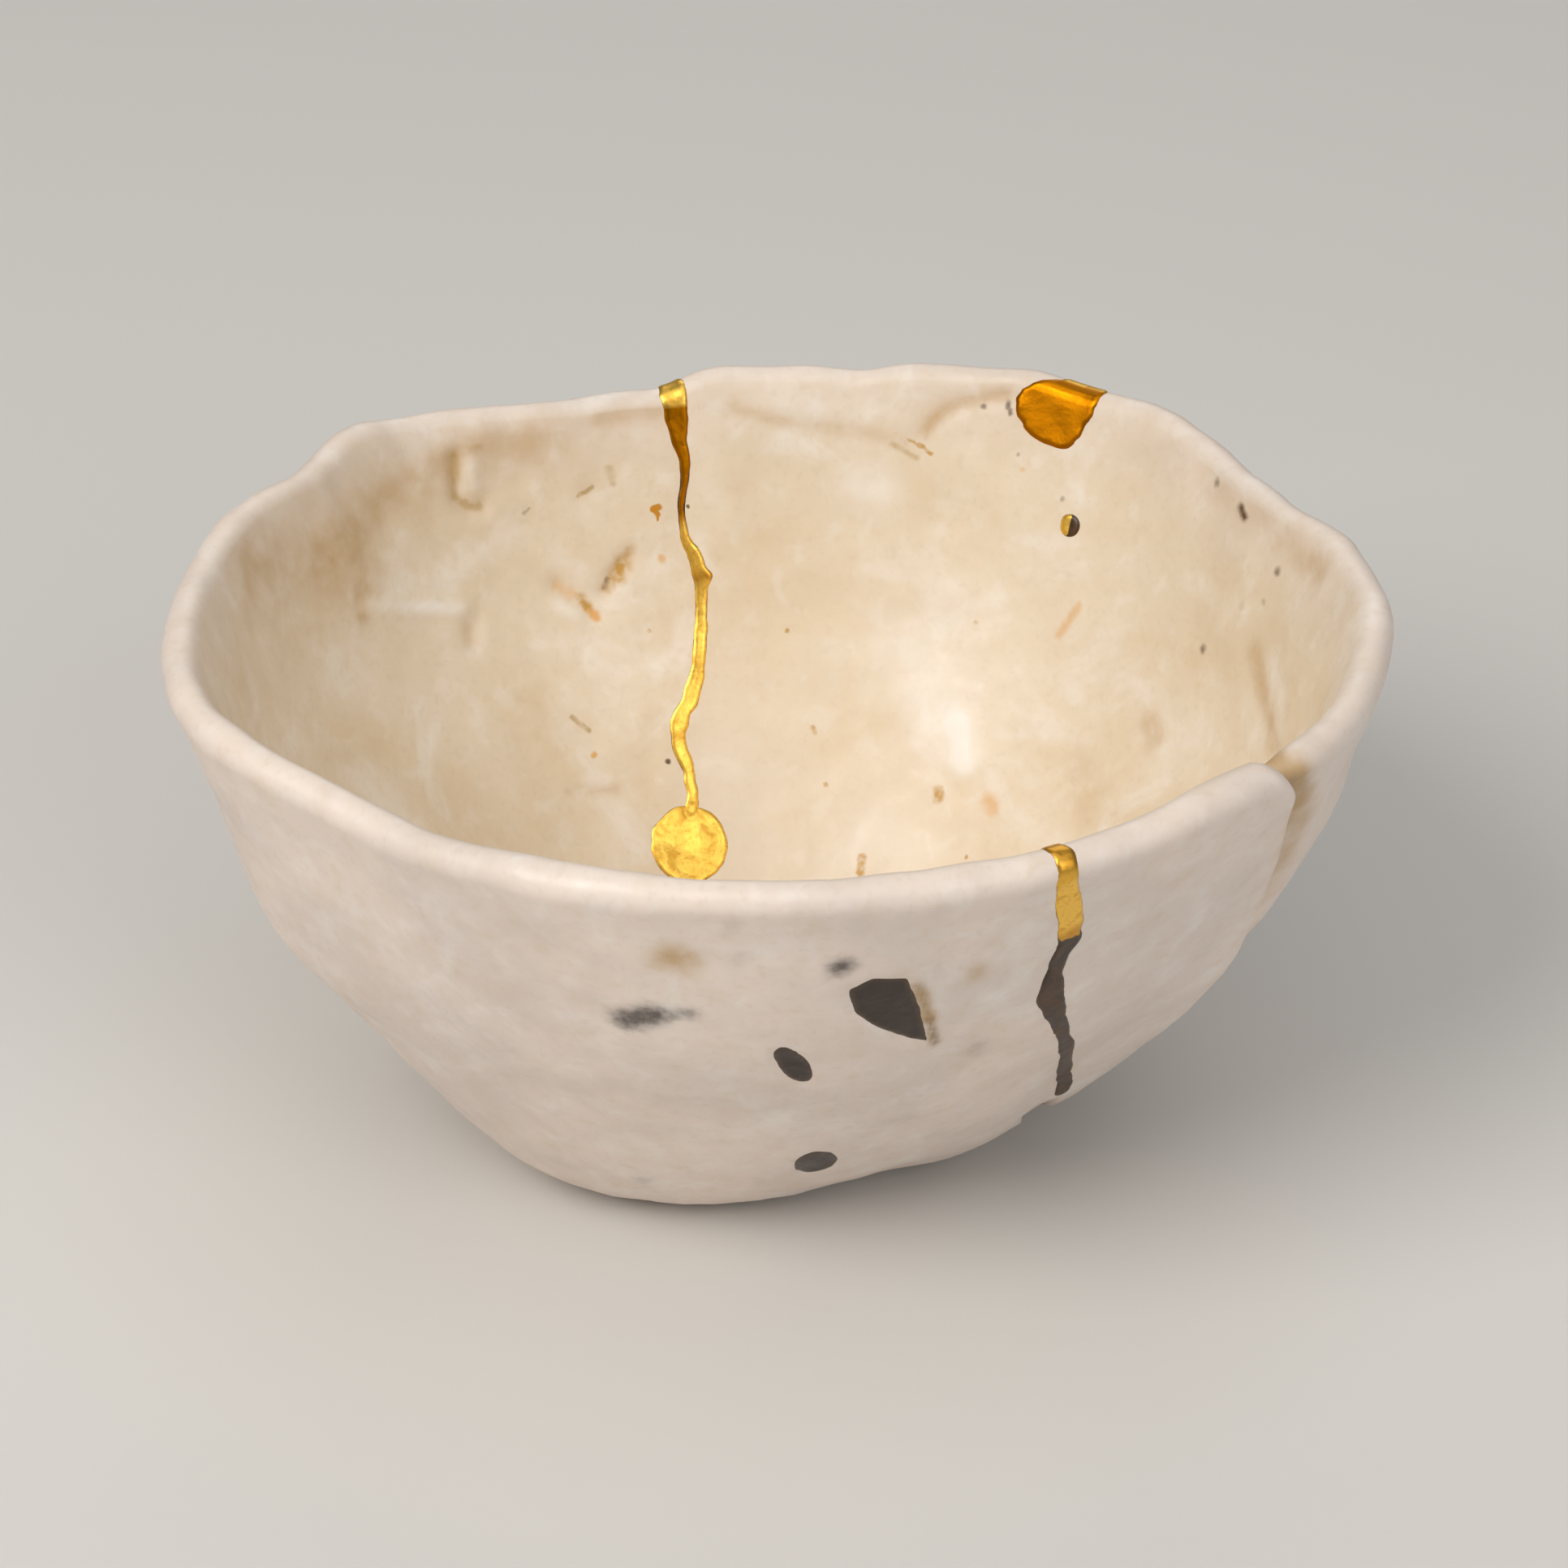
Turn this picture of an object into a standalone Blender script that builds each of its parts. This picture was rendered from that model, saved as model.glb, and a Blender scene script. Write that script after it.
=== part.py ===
"""A hand-pinched porcelain tea bowl mended with gold. Metres, +Z up, standing on z = 0.

The bowl is one shell, lofted from the section of its wall at each azimuth. Azimuth 0 is +X and
turns towards +Y. Cracks run through the wall from the rim, and chips and pits are cut into it.
Every cut holds its own fill of lacquer and gold, which stands a hair proud of the porcelain.
"""

import math

import bmesh
import bpy
from mathutils import Matrix, Vector

# Driving dimensions of the bowl, in metres
RIM_RADIUS = 0.0565
RIM_HEIGHT = 0.0562
KNEE_RADIUS = 0.0445
KNEE_HEIGHT = 0.0252
FOOT_RADIUS = 0.0215
RIM_WALL = 0.0038
KNEE_WALL = 0.0043
FLOOR = 0.0056

# Strength of a pinch in the clay, and the usual width of a crack
PINCH = 0.0010
CRACK_WIDTH = 0.0020

# The lapped edge, where one flap of clay was pressed over the next
LAP_PROUD = 0.0005
LAP_GROOVE = 0.0022
LAP_ROUNDING = 0.0010
LAP_NOTCH = 0.0018
LAP_CREASE = 0.0007

# Fills: how far they stand out, and the gap that lacquer leaves to the porcelain
FILL_PROUD = 0.00015
FILL_GAP = 0.0003
CUTTER_REACH = 0.0040

# Sizes of the single fills
SPOT_RADIUS = 0.0041
SPOT_DEPTH = 0.0016
PINHOLE_RADIUS = 0.0013
PINHOLE_DEPTH = 0.0010
PIT_DEPTH = 0.0012
OVAL_PIT_SIZE = (0.0028, 0.0068)
LOW_PIT_SIZE = (0.0046, 0.0050)
BREAK_CHIP_WIDTH = 0.0030
BREAK_CHIP_DEPTH = 0.0015

# The free form of the bowl, one row for each 22.5 degrees of azimuth, starting at +X:
# rim, rim height, knee and foot, each as a share of its driving dimension.
FORM = (
    (1.036, 1.004, 1.054, 0.995),
    (0.990, 0.998, 1.018, 1.063),
    (1.014, 1.008, 1.005, 1.079),
    (0.981, 1.014, 0.978, 1.079),
    (0.938, 1.000, 0.951, 1.074),
    (0.942, 0.968, 0.955, 1.070),
    (1.009, 0.989, 0.998, 1.065),
    (1.019, 0.998, 1.036, 1.065),
    (1.041, 1.003, 1.081, 1.070),
    (1.055, 1.005, 1.083, 1.088),
    (0.968, 0.982, 1.009, 1.150),
    (0.970, 0.988, 0.964, 1.050),
    (0.966, 0.992, 0.939, 0.880),
    (0.977, 0.997, 0.935, 0.758),
    (1.005, 1.011, 0.971, 0.790),
    (1.037, 1.002, 1.043, 0.856),
)

# Pinches of the rim: azimuth, half width in degrees, push outwards and lift as shares of a pinch
RIM_PINCHES = (
    (357.0, 7.0, 0.5, 0.6),
    (12.0, 7.0, 0.8, 0.4),
    (30.0, 5.0, -0.2, -0.3),
    (45.0, 6.0, 0.3, 0.4),
    (60.0, 4.0, 0.2, 0.6),
    (80.0, 4.0, 0.0, -0.9),
    (97.0, 5.0, 0.3, 0.9),
    (104.0, 3.0, -0.2, -0.6),
    (141.0, 6.0, 0.7, 1.0),
    (151.0, 4.0, -0.5, -0.1),
    (162.0, 9.0, 0.8, 0.0),
    (232.0, 9.0, 0.2, -0.6),
    (316.0, 7.0, 0.0, 0.8),
)

# Swells and hollows left by the palm: azimuth, half width in degrees, share of height,
# half height as a share, and push outwards as a share of a pinch
WALL_SWELLS = (
    (200.0, 12.0, 0.58, 0.10, 0.8),
    (190.0, 12.0, 0.84, 0.10, -0.4),
    (222.0, 14.0, 0.14, 0.12, 0.8),
    (312.0, 12.0, 0.12, 0.10, 1.0),
    (317.0, 9.0, 0.42, 0.12, -0.8),
    (337.0, 7.0, 0.45, 0.08, 0.6),
    (347.0, 8.0, 0.78, 0.10, 0.8),
    (2.0, 8.0, 0.88, 0.10, -0.8),
)

# The lapped edge down the outside: (share of height, azimuth)
LAP_LINE = ((0.0, 338.0), (0.3, 336.0), (0.5, 334.0), (0.78, 331.5), (0.9, 328.5), (1.0, 325.0))

# Cracks, from the rim down: (azimuth, share of height, width as a share of the usual)
FAR_CRACK = (
    (103.0, 1.10, 1.45),
    (103.0, 1.00, 1.45),
    (102.8, 0.94, 1.00),
    (102.3, 0.89, 0.65),
    (102.6, 0.84, 0.55),
    (103.2, 0.79, 0.50),
    (102.8, 0.74, 0.65),
    (101.6, 0.69, 0.85),
    (101.3, 0.62, 0.70),
    (102.0, 0.54, 0.75),
    (103.6, 0.46, 0.95),
    (106.6, 0.40, 1.00),
    (107.9, 0.36, 0.90),
    (106.9, 0.31, 0.80),
    (106.6, 0.26, 0.65),
    (108.0, 0.20, 0.65),
)
NEAR_CRACK = (
    (296.6, 1.10, 1.00),
    (297.0, 1.00, 1.05),
    (298.3, 0.93, 1.30),
    (299.9, 0.84, 1.30),
    (299.6, 0.78, 0.90),
    (300.2, 0.69, 1.25),
    (303.6, 0.57, 0.85),
    (309.0, 0.44, 0.90),
    (318.0, 0.28, 0.90),
    (321.0, 0.23, 0.85),
)

# The chip lost from the rim, as a closed outline of (azimuth, share of height)
RIM_CHIP = (
    (58.8, 1.10),
    (59.0, 1.010),
    (61.4, 0.975),
    (61.0, 0.945),
    (58.6, 0.920),
    (55.6, 0.912),
    (54.2, 0.922),
    (53.0, 0.962),
    (52.0, 1.000),
    (52.0, 1.10),
)

# The pit with corners, as a closed outline of (azimuth, share of height)
CORNER_PIT = (
    (277.6, 0.775),
    (280.2, 0.795),
    (283.6, 0.820),
    (285.6, 0.735),
    (287.2, 0.640),
    (285.0, 0.652),
    (281.9, 0.685),
    (279.0, 0.735),
)

# Places of the single fills: (azimuth, share of height)
SPOT_PLACE = (109.3, 0.166)
PINHOLE_PLACE = (50.8, 0.787)
OVAL_PIT_PLACE = (271.6, 0.606)
LOW_PIT_PLACE = (276.0, 0.240)
BREAK_CHIP_ENDS = ((321.5, 0.210), (333.0, 0.090))
OVAL_PIT_TURN = 22.0
LOW_PIT_TURN = 8.0

# How finely the shell is faceted
COLUMNS = 90
LAP_COLUMNS = (-2.4, -0.9, 0.0, 1.1, 2.3, 5.0)
WALL_STEPS = (0.0, 0.07, 0.16, 0.26, 0.38, 0.5, 0.61, 0.72, 0.82, 0.91, 1.0)
LIP_STEPS = 4
FLOOR_STEPS = (0.5, 0.8)
ROUND_SIDES = 24


def around(column, azimuth):
    """One column of FORM at any azimuth, on a smooth closed curve."""
    place = (azimuth % 360.0) / 360.0 * len(FORM)
    row = int(place)
    f = place - row
    a, b, c, d = (FORM[(row + k) % len(FORM)][column] for k in (-1, 0, 1, 2))
    return 0.5 * (2 * b + (c - a) * f + (2 * a - 5 * b + 4 * c - d) * f**2 + (3 * b - a - 3 * c + d) * f**3)


def apart(azimuth, other):
    """Signed angle from other to azimuth, in degrees, from -180 to 180."""
    return (azimuth - other + 180.0) % 360.0 - 180.0


def pinches(azimuth):
    """How far the pinches push the rim outwards and lift it."""
    push = lift = 0.0
    for centre, half_width, out, up in RIM_PINCHES:
        weight = math.exp(-((apart(azimuth, centre) / half_width) ** 2))
        push += PINCH * out * weight
        lift += PINCH * up * weight
    return push, lift


def swells(azimuth, step):
    """How far the swells and hollows push the wall outwards."""
    push = 0.0
    for centre, half_width, share, half_height, out in WALL_SWELLS:
        beside = apart(azimuth, centre) / half_width
        above = (step - share) / half_height
        push += PINCH * out * math.exp(-(beside**2) - above**2)
    return push


def along(line, share):
    """The value of a (share, value) line at a share of the height."""
    for (s0, v0), (s1, v1) in zip(line, line[1:]):
        if share <= s1:
            return v0 + (v1 - v0) * max(0.0, share - s0) / (s1 - s0)
    return line[-1][1]


def hermite(p0, p1, m0, m1, f):
    """A point on the curve from p0 to p1 that leaves along m0 and arrives along m1."""
    return (
        p0 * (2 * f**3 - 3 * f**2 + 1)
        + m0 * (f**3 - 2 * f**2 + f)
        + p1 * (3 * f**2 - 2 * f**3)
        + m1 * (f**3 - f**2)
    )


def section_point(azimuth, step):
    """The outer face in the section's plane, (radius, height), at a step from the foot, 0, over the knee, 0.5, to the rim, 1."""
    push, lift = pinches(azimuth)
    foot = Vector((FOOT_RADIUS * around(3, azimuth), 0.0))
    knee = Vector((KNEE_RADIUS * around(2, azimuth), KNEE_HEIGHT * around(1, azimuth)))
    top = RIM_HEIGHT * around(1, azimuth) - RIM_WALL / 2 + lift
    rim = Vector((RIM_RADIUS * around(0, azimuth) + push, top))
    leaving = Vector((1.3 * (knee.x - foot.x), 0.3 * knee.y))
    through = 0.5 * (rim - foot)
    swell = Vector((swells(azimuth, step), 0.0))
    if step <= 0.5:
        return hermite(foot, knee, leaving, through, 2 * step) + swell
    return hermite(knee, rim, through, rim - knee, 2 * step - 1) + swell


def section_normal(azimuth, step):
    """The direction out of the wall, in the section's plane."""
    low, high = max(0.0, step - 0.02), min(1.0, step + 0.02)
    run = section_point(azimuth, high) - section_point(azimuth, low)
    return Vector((run.y, -run.x)).normalized()


def wall_at(step):
    """The wall's thickness, from the floor at step 0 over the knee to the rim."""
    if step <= 0.5:
        return FLOOR + (KNEE_WALL - FLOOR) * 2 * step
    return KNEE_WALL + (RIM_WALL - KNEE_WALL) * (2 * step - 1)


def lap(turn, step):
    """Relief of the lapped edge at a turn past it, in degrees: (outside, inside, drop of the rim)."""
    fade = min(1.0, step / 0.3)
    if turn <= 0.0:
        rounding = LAP_ROUNDING * math.exp(-((turn / 1.2) ** 2)) * step**8
        return LAP_PROUD * math.exp(turn / 9.0) * fade, 0.0, rounding
    groove = math.exp(-((turn / 5.0) ** 2))
    return -LAP_GROOVE * groove * fade, LAP_CREASE * groove, LAP_NOTCH * groove * step**8


def column_azimuth(column, step):
    """Columns lean with the lapped edge near it, so that one of them follows the edge down."""
    turn = apart(column, LAP_LINE[-1][1])
    near = math.exp(-((turn / 22.0) ** 2))
    return column + near * (along(LAP_LINE, step) - LAP_LINE[-1][1])


def wall_pair(column, step):
    """The outer and the inner point of the wall at a column, in 3D, as the shell has them."""
    azimuth = column_azimuth(column, step)
    outside, inside, drop = lap(apart(column, LAP_LINE[-1][1]), step)
    normal = section_normal(azimuth, step)
    outer = section_point(azimuth, step)
    inner = outer - normal * (wall_at(step) + inside)
    outer = outer + normal * outside
    spoke = Vector((math.cos(math.radians(azimuth)), math.sin(math.radians(azimuth)), 0.0))
    up = Vector((0.0, 0.0, 1.0))
    return (
        spoke * outer.x + up * (outer.y - drop),
        spoke * inner.x + up * (inner.y - drop),
    )


def shell_columns():
    """Even columns, and closer ones on both sides of the lapped edge."""
    edge = LAP_LINE[-1][1]
    pitch = 360.0 / COLUMNS
    crowded = max(abs(x) for x in LAP_COLUMNS)
    even = [k * pitch for k in range(COLUMNS) if abs(apart(k * pitch, edge)) > crowded]
    return sorted(even + [edge + x for x in LAP_COLUMNS])


def shell_mesh(name, grow=0.0):
    """The whole bowl as one closed skin, grown outwards on every face by grow."""
    rings = []
    columns = shell_columns()
    for share in FLOOR_STEPS:
        rings.append([wall_pair(c, 0.0)[0] * share for c in columns])
    rings += [[wall_pair(c, s)[0] for c in columns] for s in WALL_STEPS]
    for k in range(1, LIP_STEPS):
        turn = math.pi * k / LIP_STEPS
        lip = []
        for c in columns:
            outer, inner = wall_pair(c, 1.0)
            below = wall_pair(c, 0.94)
            rise = (outer + inner - below[0] - below[1]).normalized()
            centre, half = (outer + inner) / 2, (outer - inner) / 2
            lip.append(centre + half * math.cos(turn) + rise * half.length * math.sin(turn))
        rings.append(lip)
    rings += [[wall_pair(c, s)[1] for c in columns] for s in reversed(WALL_STEPS)]
    for share in reversed(FLOOR_STEPS):
        ring = []
        for c in columns:
            edge = wall_pair(c, 0.0)[1]
            ring.append(Vector((edge.x * share, edge.y * share, FLOOR + (edge.z - FLOOR) * share**3)))
        rings.append(ring)

    bm = bmesh.new()
    rows = [[bm.verts.new(p) for p in ring] for ring in rings]
    n = len(columns)
    for low, high in zip(rows, rows[1:]):
        for k in range(n):
            bm.faces.new((low[k], low[(k + 1) % n], high[(k + 1) % n], high[k]))
    bm.faces.new(list(reversed(rows[0])))
    middle = bm.verts.new((0.0, 0.0, FLOOR))
    for k in range(n):
        bm.faces.new((rows[-1][k], rows[-1][(k + 1) % n], middle))
    bmesh.ops.recalc_face_normals(bm, faces=bm.faces)
    if grow:
        bm.normal_update()
        for vert, normal in [(v, v.normal.copy()) for v in bm.verts]:
            vert.co += normal * grow
    mesh = bpy.data.meshes.new(name)
    bm.to_mesh(mesh)
    bm.free()
    return mesh


def wall_frame(azimuth, share):
    """Middle of the wall at an azimuth and share of the rim's height, with the ways round, up and out of it."""
    step = step_of_height(azimuth, min(share, 1.0))
    outer, inner = plain_pair(azimuth, step)
    out = (outer - inner).normalized()
    spoke_round = Vector((-math.sin(math.radians(azimuth)), math.cos(math.radians(azimuth)), 0.0))
    up = out.cross(spoke_round).normalized()
    if up.z < 0:
        up.negate()
    middle = (outer + inner) / 2 + up * max(0.0, share - 1.0) * RIM_HEIGHT
    return middle, spoke_round, up, out, (outer - inner).length


def plain_pair(azimuth, step):
    """The outer and inner point of the wall at a true azimuth, without the lapped edge."""
    normal = section_normal(azimuth, step)
    outer = section_point(azimuth, step)
    inner = outer - normal * wall_at(step)
    spoke = Vector((math.cos(math.radians(azimuth)), math.sin(math.radians(azimuth)), 0.0))
    up = Vector((0.0, 0.0, 1.0))
    return spoke * outer.x + up * outer.y, spoke * inner.x + up * inner.y


def step_of_height(azimuth, share):
    """The step at which the outer face reaches a share of the rim's height."""
    wanted = share * section_point(azimuth, 1.0).y
    low, high = 0.0, 1.0
    for _ in range(30):
        middle = (low + high) / 2
        if section_point(azimuth, middle).y < wanted:
            low = middle
        else:
            high = middle
    return (low + high) / 2


def smooth_path(path, pieces=2):
    """Rows of numbers joined by a smooth curve through all of them."""
    rows = [path[0], *path, path[-1]]
    made = []
    for k in range(1, len(rows) - 2):
        for i in range(pieces):
            f = i / pieces
            made.append(
                tuple(
                    0.5 * (2 * b + (c - a) * f + (2 * a - 5 * b + 4 * c - d) * f**2 + (3 * b - a - 3 * c + d) * f**3)
                    for a, b, c, d in zip(*rows[k - 1 : k + 3])
                )
            )
    made.append(path[-1])
    return made


def loft(name, sections):
    """A closed solid through sections that have the same number of corners."""
    bm = bmesh.new()
    rows = [[bm.verts.new(p) for p in section] for section in sections]
    n = len(rows[0])
    for low, high in zip(rows, rows[1:]):
        for k in range(n):
            bm.faces.new((low[k], low[(k + 1) % n], high[(k + 1) % n], high[k]))
    bm.faces.new(list(reversed(rows[0])))
    bm.faces.new(rows[-1])
    bmesh.ops.recalc_face_normals(bm, faces=bm.faces)
    mesh = bpy.data.meshes.new(name)
    bm.to_mesh(mesh)
    bm.free()
    return mesh


def crack_mesh(name, crack, gap):
    """A ribbon that follows a crack down the wall and passes right through it."""
    rows = smooth_path(crack)
    frames = [wall_frame(azimuth, share) for azimuth, share, _ in rows]
    sections = []
    for k, (middle, _, _, out, _) in enumerate(frames):
        run = frames[min(k + 1, len(frames) - 1)][0] - frames[max(k - 1, 0)][0]
        side = run.cross(out).normalized() * (CRACK_WIDTH * rows[k][2] / 2 + gap)
        end = run.normalized() * gap if k == len(frames) - 1 else Vector()
        reach = out * CUTTER_REACH * 1.6
        here = middle + end
        sections.append((here - side - reach, here + side - reach, here + side + reach, here - side + reach))
    return loft(name, sections)


def chip_mesh(name, outline, gap):
    """A block with the chip's outline that passes through the wall and over the rim."""
    frames = [wall_frame(azimuth, share) for azimuth, share in outline]
    centre = sum((f[0] for f in frames), Vector()) / len(frames)
    inside, outside = [], []
    for middle, _, _, out, _ in frames:
        away = (middle - centre).normalized() * gap
        inside.append(middle + away - out * CUTTER_REACH)
        outside.append(middle + away + out * CUTTER_REACH)
    return loft(name, (inside, outside))


def pit_mesh(name, outline, depth, gap):
    """A block with a pit's outline, sunk to a depth in the outer face of the wall."""
    frames = [wall_frame(azimuth, share) for azimuth, share in outline]
    centre = sum((f[0] for f in frames), Vector()) / len(frames)
    inside, outside = [], []
    for middle, _, _, out, wall in frames:
        away = (middle - centre).normalized() * gap
        inside.append(middle + away + out * (wall / 2 - depth - gap))
        outside.append(middle + away + out * (wall / 2 + CUTTER_REACH))
    return loft(name, (inside, outside))


def plug_mesh(name, place, size, depth, gap, inner_face, sides=ROUND_SIDES, turn=0.0):
    """A plug that is sunk to a depth in one face of the wall and stands clear of it on the other side."""
    middle, sideways, up, out, wall = wall_frame(*place)
    outward = -out if inner_face else out
    face = middle + outward * (wall / 2)
    tall = depth + gap + CUTTER_REACH
    bm = bmesh.new()
    bmesh.ops.create_cone(bm, cap_ends=True, segments=sides, radius1=1.0, radius2=1.0, depth=tall)
    half_width, half_height = size[0] / 2 + gap, size[1] / 2 + gap
    bmesh.ops.scale(bm, vec=(half_width, half_height, 1.0), verts=bm.verts)
    bmesh.ops.rotate(bm, matrix=Matrix.Rotation(math.radians(turn), 3, "Z"), verts=bm.verts)
    across = up.cross(outward).normalized()
    turned = Matrix((across, up, outward)).transposed().to_4x4()
    centre = face + outward * (tall / 2 - depth - gap)
    bm.transform(Matrix.Translation(centre) @ turned)
    mesh = bpy.data.meshes.new(name)
    bm.to_mesh(mesh)
    bm.free()
    return mesh


def break_chip_mesh(name):
    """A long blunt wedge that takes the chip out of the outer face, below the end of the near crack."""
    ends = []
    for azimuth, share in BREAK_CHIP_ENDS:
        middle, _, _, out, wall = wall_frame(azimuth, share)
        ends.append((middle + out * (wall / 2), out))
    run = ends[1][0] - ends[0][0]
    out = (ends[0][1] + ends[1][1]).normalized()
    across = out.cross(run).normalized()
    turned = Matrix((across.cross(out), across, out)).transposed().to_4x4()
    size = Matrix.Diagonal((run.length / 2, BREAK_CHIP_WIDTH / 2, BREAK_CHIP_DEPTH, 1.0))
    bm = bmesh.new()
    bmesh.ops.create_icosphere(bm, subdivisions=2, radius=1.0)
    bm.transform(Matrix.Translation((ends[0][0] + ends[1][0]) / 2) @ turned @ size)
    mesh = bpy.data.meshes.new(name)
    bm.to_mesh(mesh)
    bm.free()
    return mesh


def material(name, colour, roughness, metallic):
    """A plain Principled BSDF."""
    made = bpy.data.materials.new(name)
    made.use_nodes = True
    shader = made.node_tree.nodes["Principled BSDF"]
    shader.inputs["Base Color"].default_value = (*colour, 1.0)
    shader.inputs["Roughness"].default_value = roughness
    shader.inputs["Metallic"].default_value = metallic
    return made


def add(name, mesh, collection, finish=None):
    """An object with its mesh, in its collection."""
    made = bpy.data.objects.new(name, mesh)
    collection.objects.link(made)
    if finish:
        mesh.materials.append(finish)
    return made


def add_cutter(name, meshes, collection):
    """A hidden cutter. A second mesh is joined to the first."""
    cutter = add(name, meshes[0], collection)
    cutter.hide_render = True
    cutter.display_type = "WIRE"
    for k, mesh in enumerate(meshes[1:]):
        other = add(f"{name}_{k + 2}", mesh, collection)
        other.hide_render = True
        other.display_type = "WIRE"
        boolean(cutter, other, "UNION")
    return cutter


def boolean(target, cutter, operation):
    """A Boolean modifier with the exact solver."""
    made = target.modifiers.new(f"{operation.lower()} {cutter.name}", "BOOLEAN")
    made.operation = operation
    made.solver = "EXACT"
    made.object = cutter
    return made


def collection(name):
    """A new collection in the scene."""
    made = bpy.data.collections.new(name)
    bpy.context.scene.collection.children.link(made)
    return made


def fills():
    """Each fill's name and finish, with a function that gives its cutter's meshes for a gap."""
    return (
        ("gold_seam_far", "gold", lambda gap: [
            crack_mesh("far crack", FAR_CRACK, gap),
            plug_mesh("far spot", SPOT_PLACE, (2 * SPOT_RADIUS, 2 * SPOT_RADIUS), SPOT_DEPTH, gap, True),
        ]),
        ("gold_seam_near", "gold", lambda gap: [crack_mesh("near crack", NEAR_CRACK, gap)]),
        ("gold_rim_chip", "gold", lambda gap: [chip_mesh("rim chip", RIM_CHIP, gap)]),
        ("gold_pinhole", "gold", lambda gap: [
            plug_mesh("pinhole", PINHOLE_PLACE, (2 * PINHOLE_RADIUS, 2 * PINHOLE_RADIUS), PINHOLE_DEPTH, gap, True,
                      sides=12),
        ]),
        ("lacquer_pit_corner", "lacquer", lambda gap: [
            pit_mesh("corner pit", CORNER_PIT, PIT_DEPTH, gap),
        ]),
        ("lacquer_pit_oval", "lacquer", lambda gap: [
            plug_mesh("oval pit", OVAL_PIT_PLACE, OVAL_PIT_SIZE, PIT_DEPTH, gap, False, turn=OVAL_PIT_TURN),
        ]),
        ("lacquer_pit_low", "lacquer", lambda gap: [
            plug_mesh("low pit", LOW_PIT_PLACE, LOW_PIT_SIZE, PIT_DEPTH, gap, False, turn=LOW_PIT_TURN),
        ]),
    )


def centre_on_origin(objects):
    """Moves every mesh so that the bowl's box is centred over the origin."""
    corners = [v.co for v in objects[0].data.vertices]
    shift = Vector((0.0, 0.0, 0.0))
    for axis in (0, 1):
        shift[axis] = -(min(c[axis] for c in corners) + max(c[axis] for c in corners)) / 2
    for made in objects:
        made.data.transform(Matrix.Translation(shift))


def main():
    for old in list(bpy.data.objects):
        bpy.data.objects.remove(old)
    parts = collection("Kintsugi tea bowl")
    cutters = collection("Cutters")
    porcelain = material("porcelain", (0.79, 0.70, 0.60), 0.45, 0.0)
    finishes = {
        "gold": material("gold", (0.90, 0.58, 0.13), 0.28, 1.0),
        "lacquer": material("lacquer", (0.05, 0.03, 0.02), 0.25, 0.0),
    }

    bowl = add("porcelain_bowl", shell_mesh("porcelain_bowl"), parts, porcelain)
    made = [bowl]
    for name, finish, meshes in fills():
        slot = add_cutter(f"cut {name}", meshes(FILL_GAP), cutters)
        form = add_cutter(f"form {name}", meshes(0.0), cutters)
        boolean(bowl, slot, "DIFFERENCE")
        fill = add(name, shell_mesh(name, FILL_PROUD), parts, finishes[finish])
        boolean(fill, form, "INTERSECT")
        made.append(fill)
    chip = add_cutter("cut break chip", [break_chip_mesh("break chip")], cutters)
    boolean(bowl, chip, "DIFFERENCE")
    centre_on_origin(made + list(cutters.objects))


main()
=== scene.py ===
"""Looks of the kintsugi tea bowl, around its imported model. Metres, +Z up, standing on z = 0.

The bowl is lofted again from the section of its wall, much finer than the solid and with the marks
that the potter's fingers left. The mends are patches laid on that wall, over the rim where they pass it.
Azimuth 0 is +X and turns towards +Y, so the side that faces the camera is at 270 degrees.
"""

import math
from functools import partial

import bpy
import numpy as np
from bpy.props import FloatProperty, FloatVectorProperty, PointerProperty
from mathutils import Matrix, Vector


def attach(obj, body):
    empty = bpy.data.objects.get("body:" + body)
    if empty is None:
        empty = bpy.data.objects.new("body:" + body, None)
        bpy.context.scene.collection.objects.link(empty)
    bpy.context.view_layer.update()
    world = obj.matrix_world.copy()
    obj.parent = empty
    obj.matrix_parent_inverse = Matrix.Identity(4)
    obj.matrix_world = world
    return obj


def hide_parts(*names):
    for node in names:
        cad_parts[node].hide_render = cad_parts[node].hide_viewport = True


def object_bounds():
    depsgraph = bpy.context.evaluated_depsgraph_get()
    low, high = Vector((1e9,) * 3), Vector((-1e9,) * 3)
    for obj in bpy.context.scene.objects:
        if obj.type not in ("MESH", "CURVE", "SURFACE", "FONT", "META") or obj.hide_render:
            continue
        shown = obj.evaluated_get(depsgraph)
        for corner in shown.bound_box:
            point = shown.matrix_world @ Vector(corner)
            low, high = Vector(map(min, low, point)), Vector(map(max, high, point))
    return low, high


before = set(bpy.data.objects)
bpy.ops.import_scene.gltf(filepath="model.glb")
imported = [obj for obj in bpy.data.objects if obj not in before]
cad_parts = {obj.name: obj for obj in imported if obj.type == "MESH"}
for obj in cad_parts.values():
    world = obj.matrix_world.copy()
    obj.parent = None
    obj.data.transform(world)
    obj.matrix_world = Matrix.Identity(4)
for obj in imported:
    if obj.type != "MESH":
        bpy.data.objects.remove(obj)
CAD_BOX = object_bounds()

bl_info = {
    "name": "Kintsugi tea bowl",
    "version": (1, 0, 0),
    "blender": (4, 5, 0),
    "location": "3D View > Sidebar > Tea bowl",
    "description": "A hand-pinched porcelain bowl with its mends of lacquer and gold",
    "category": "Add Mesh",
}

MM = 0.001

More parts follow.
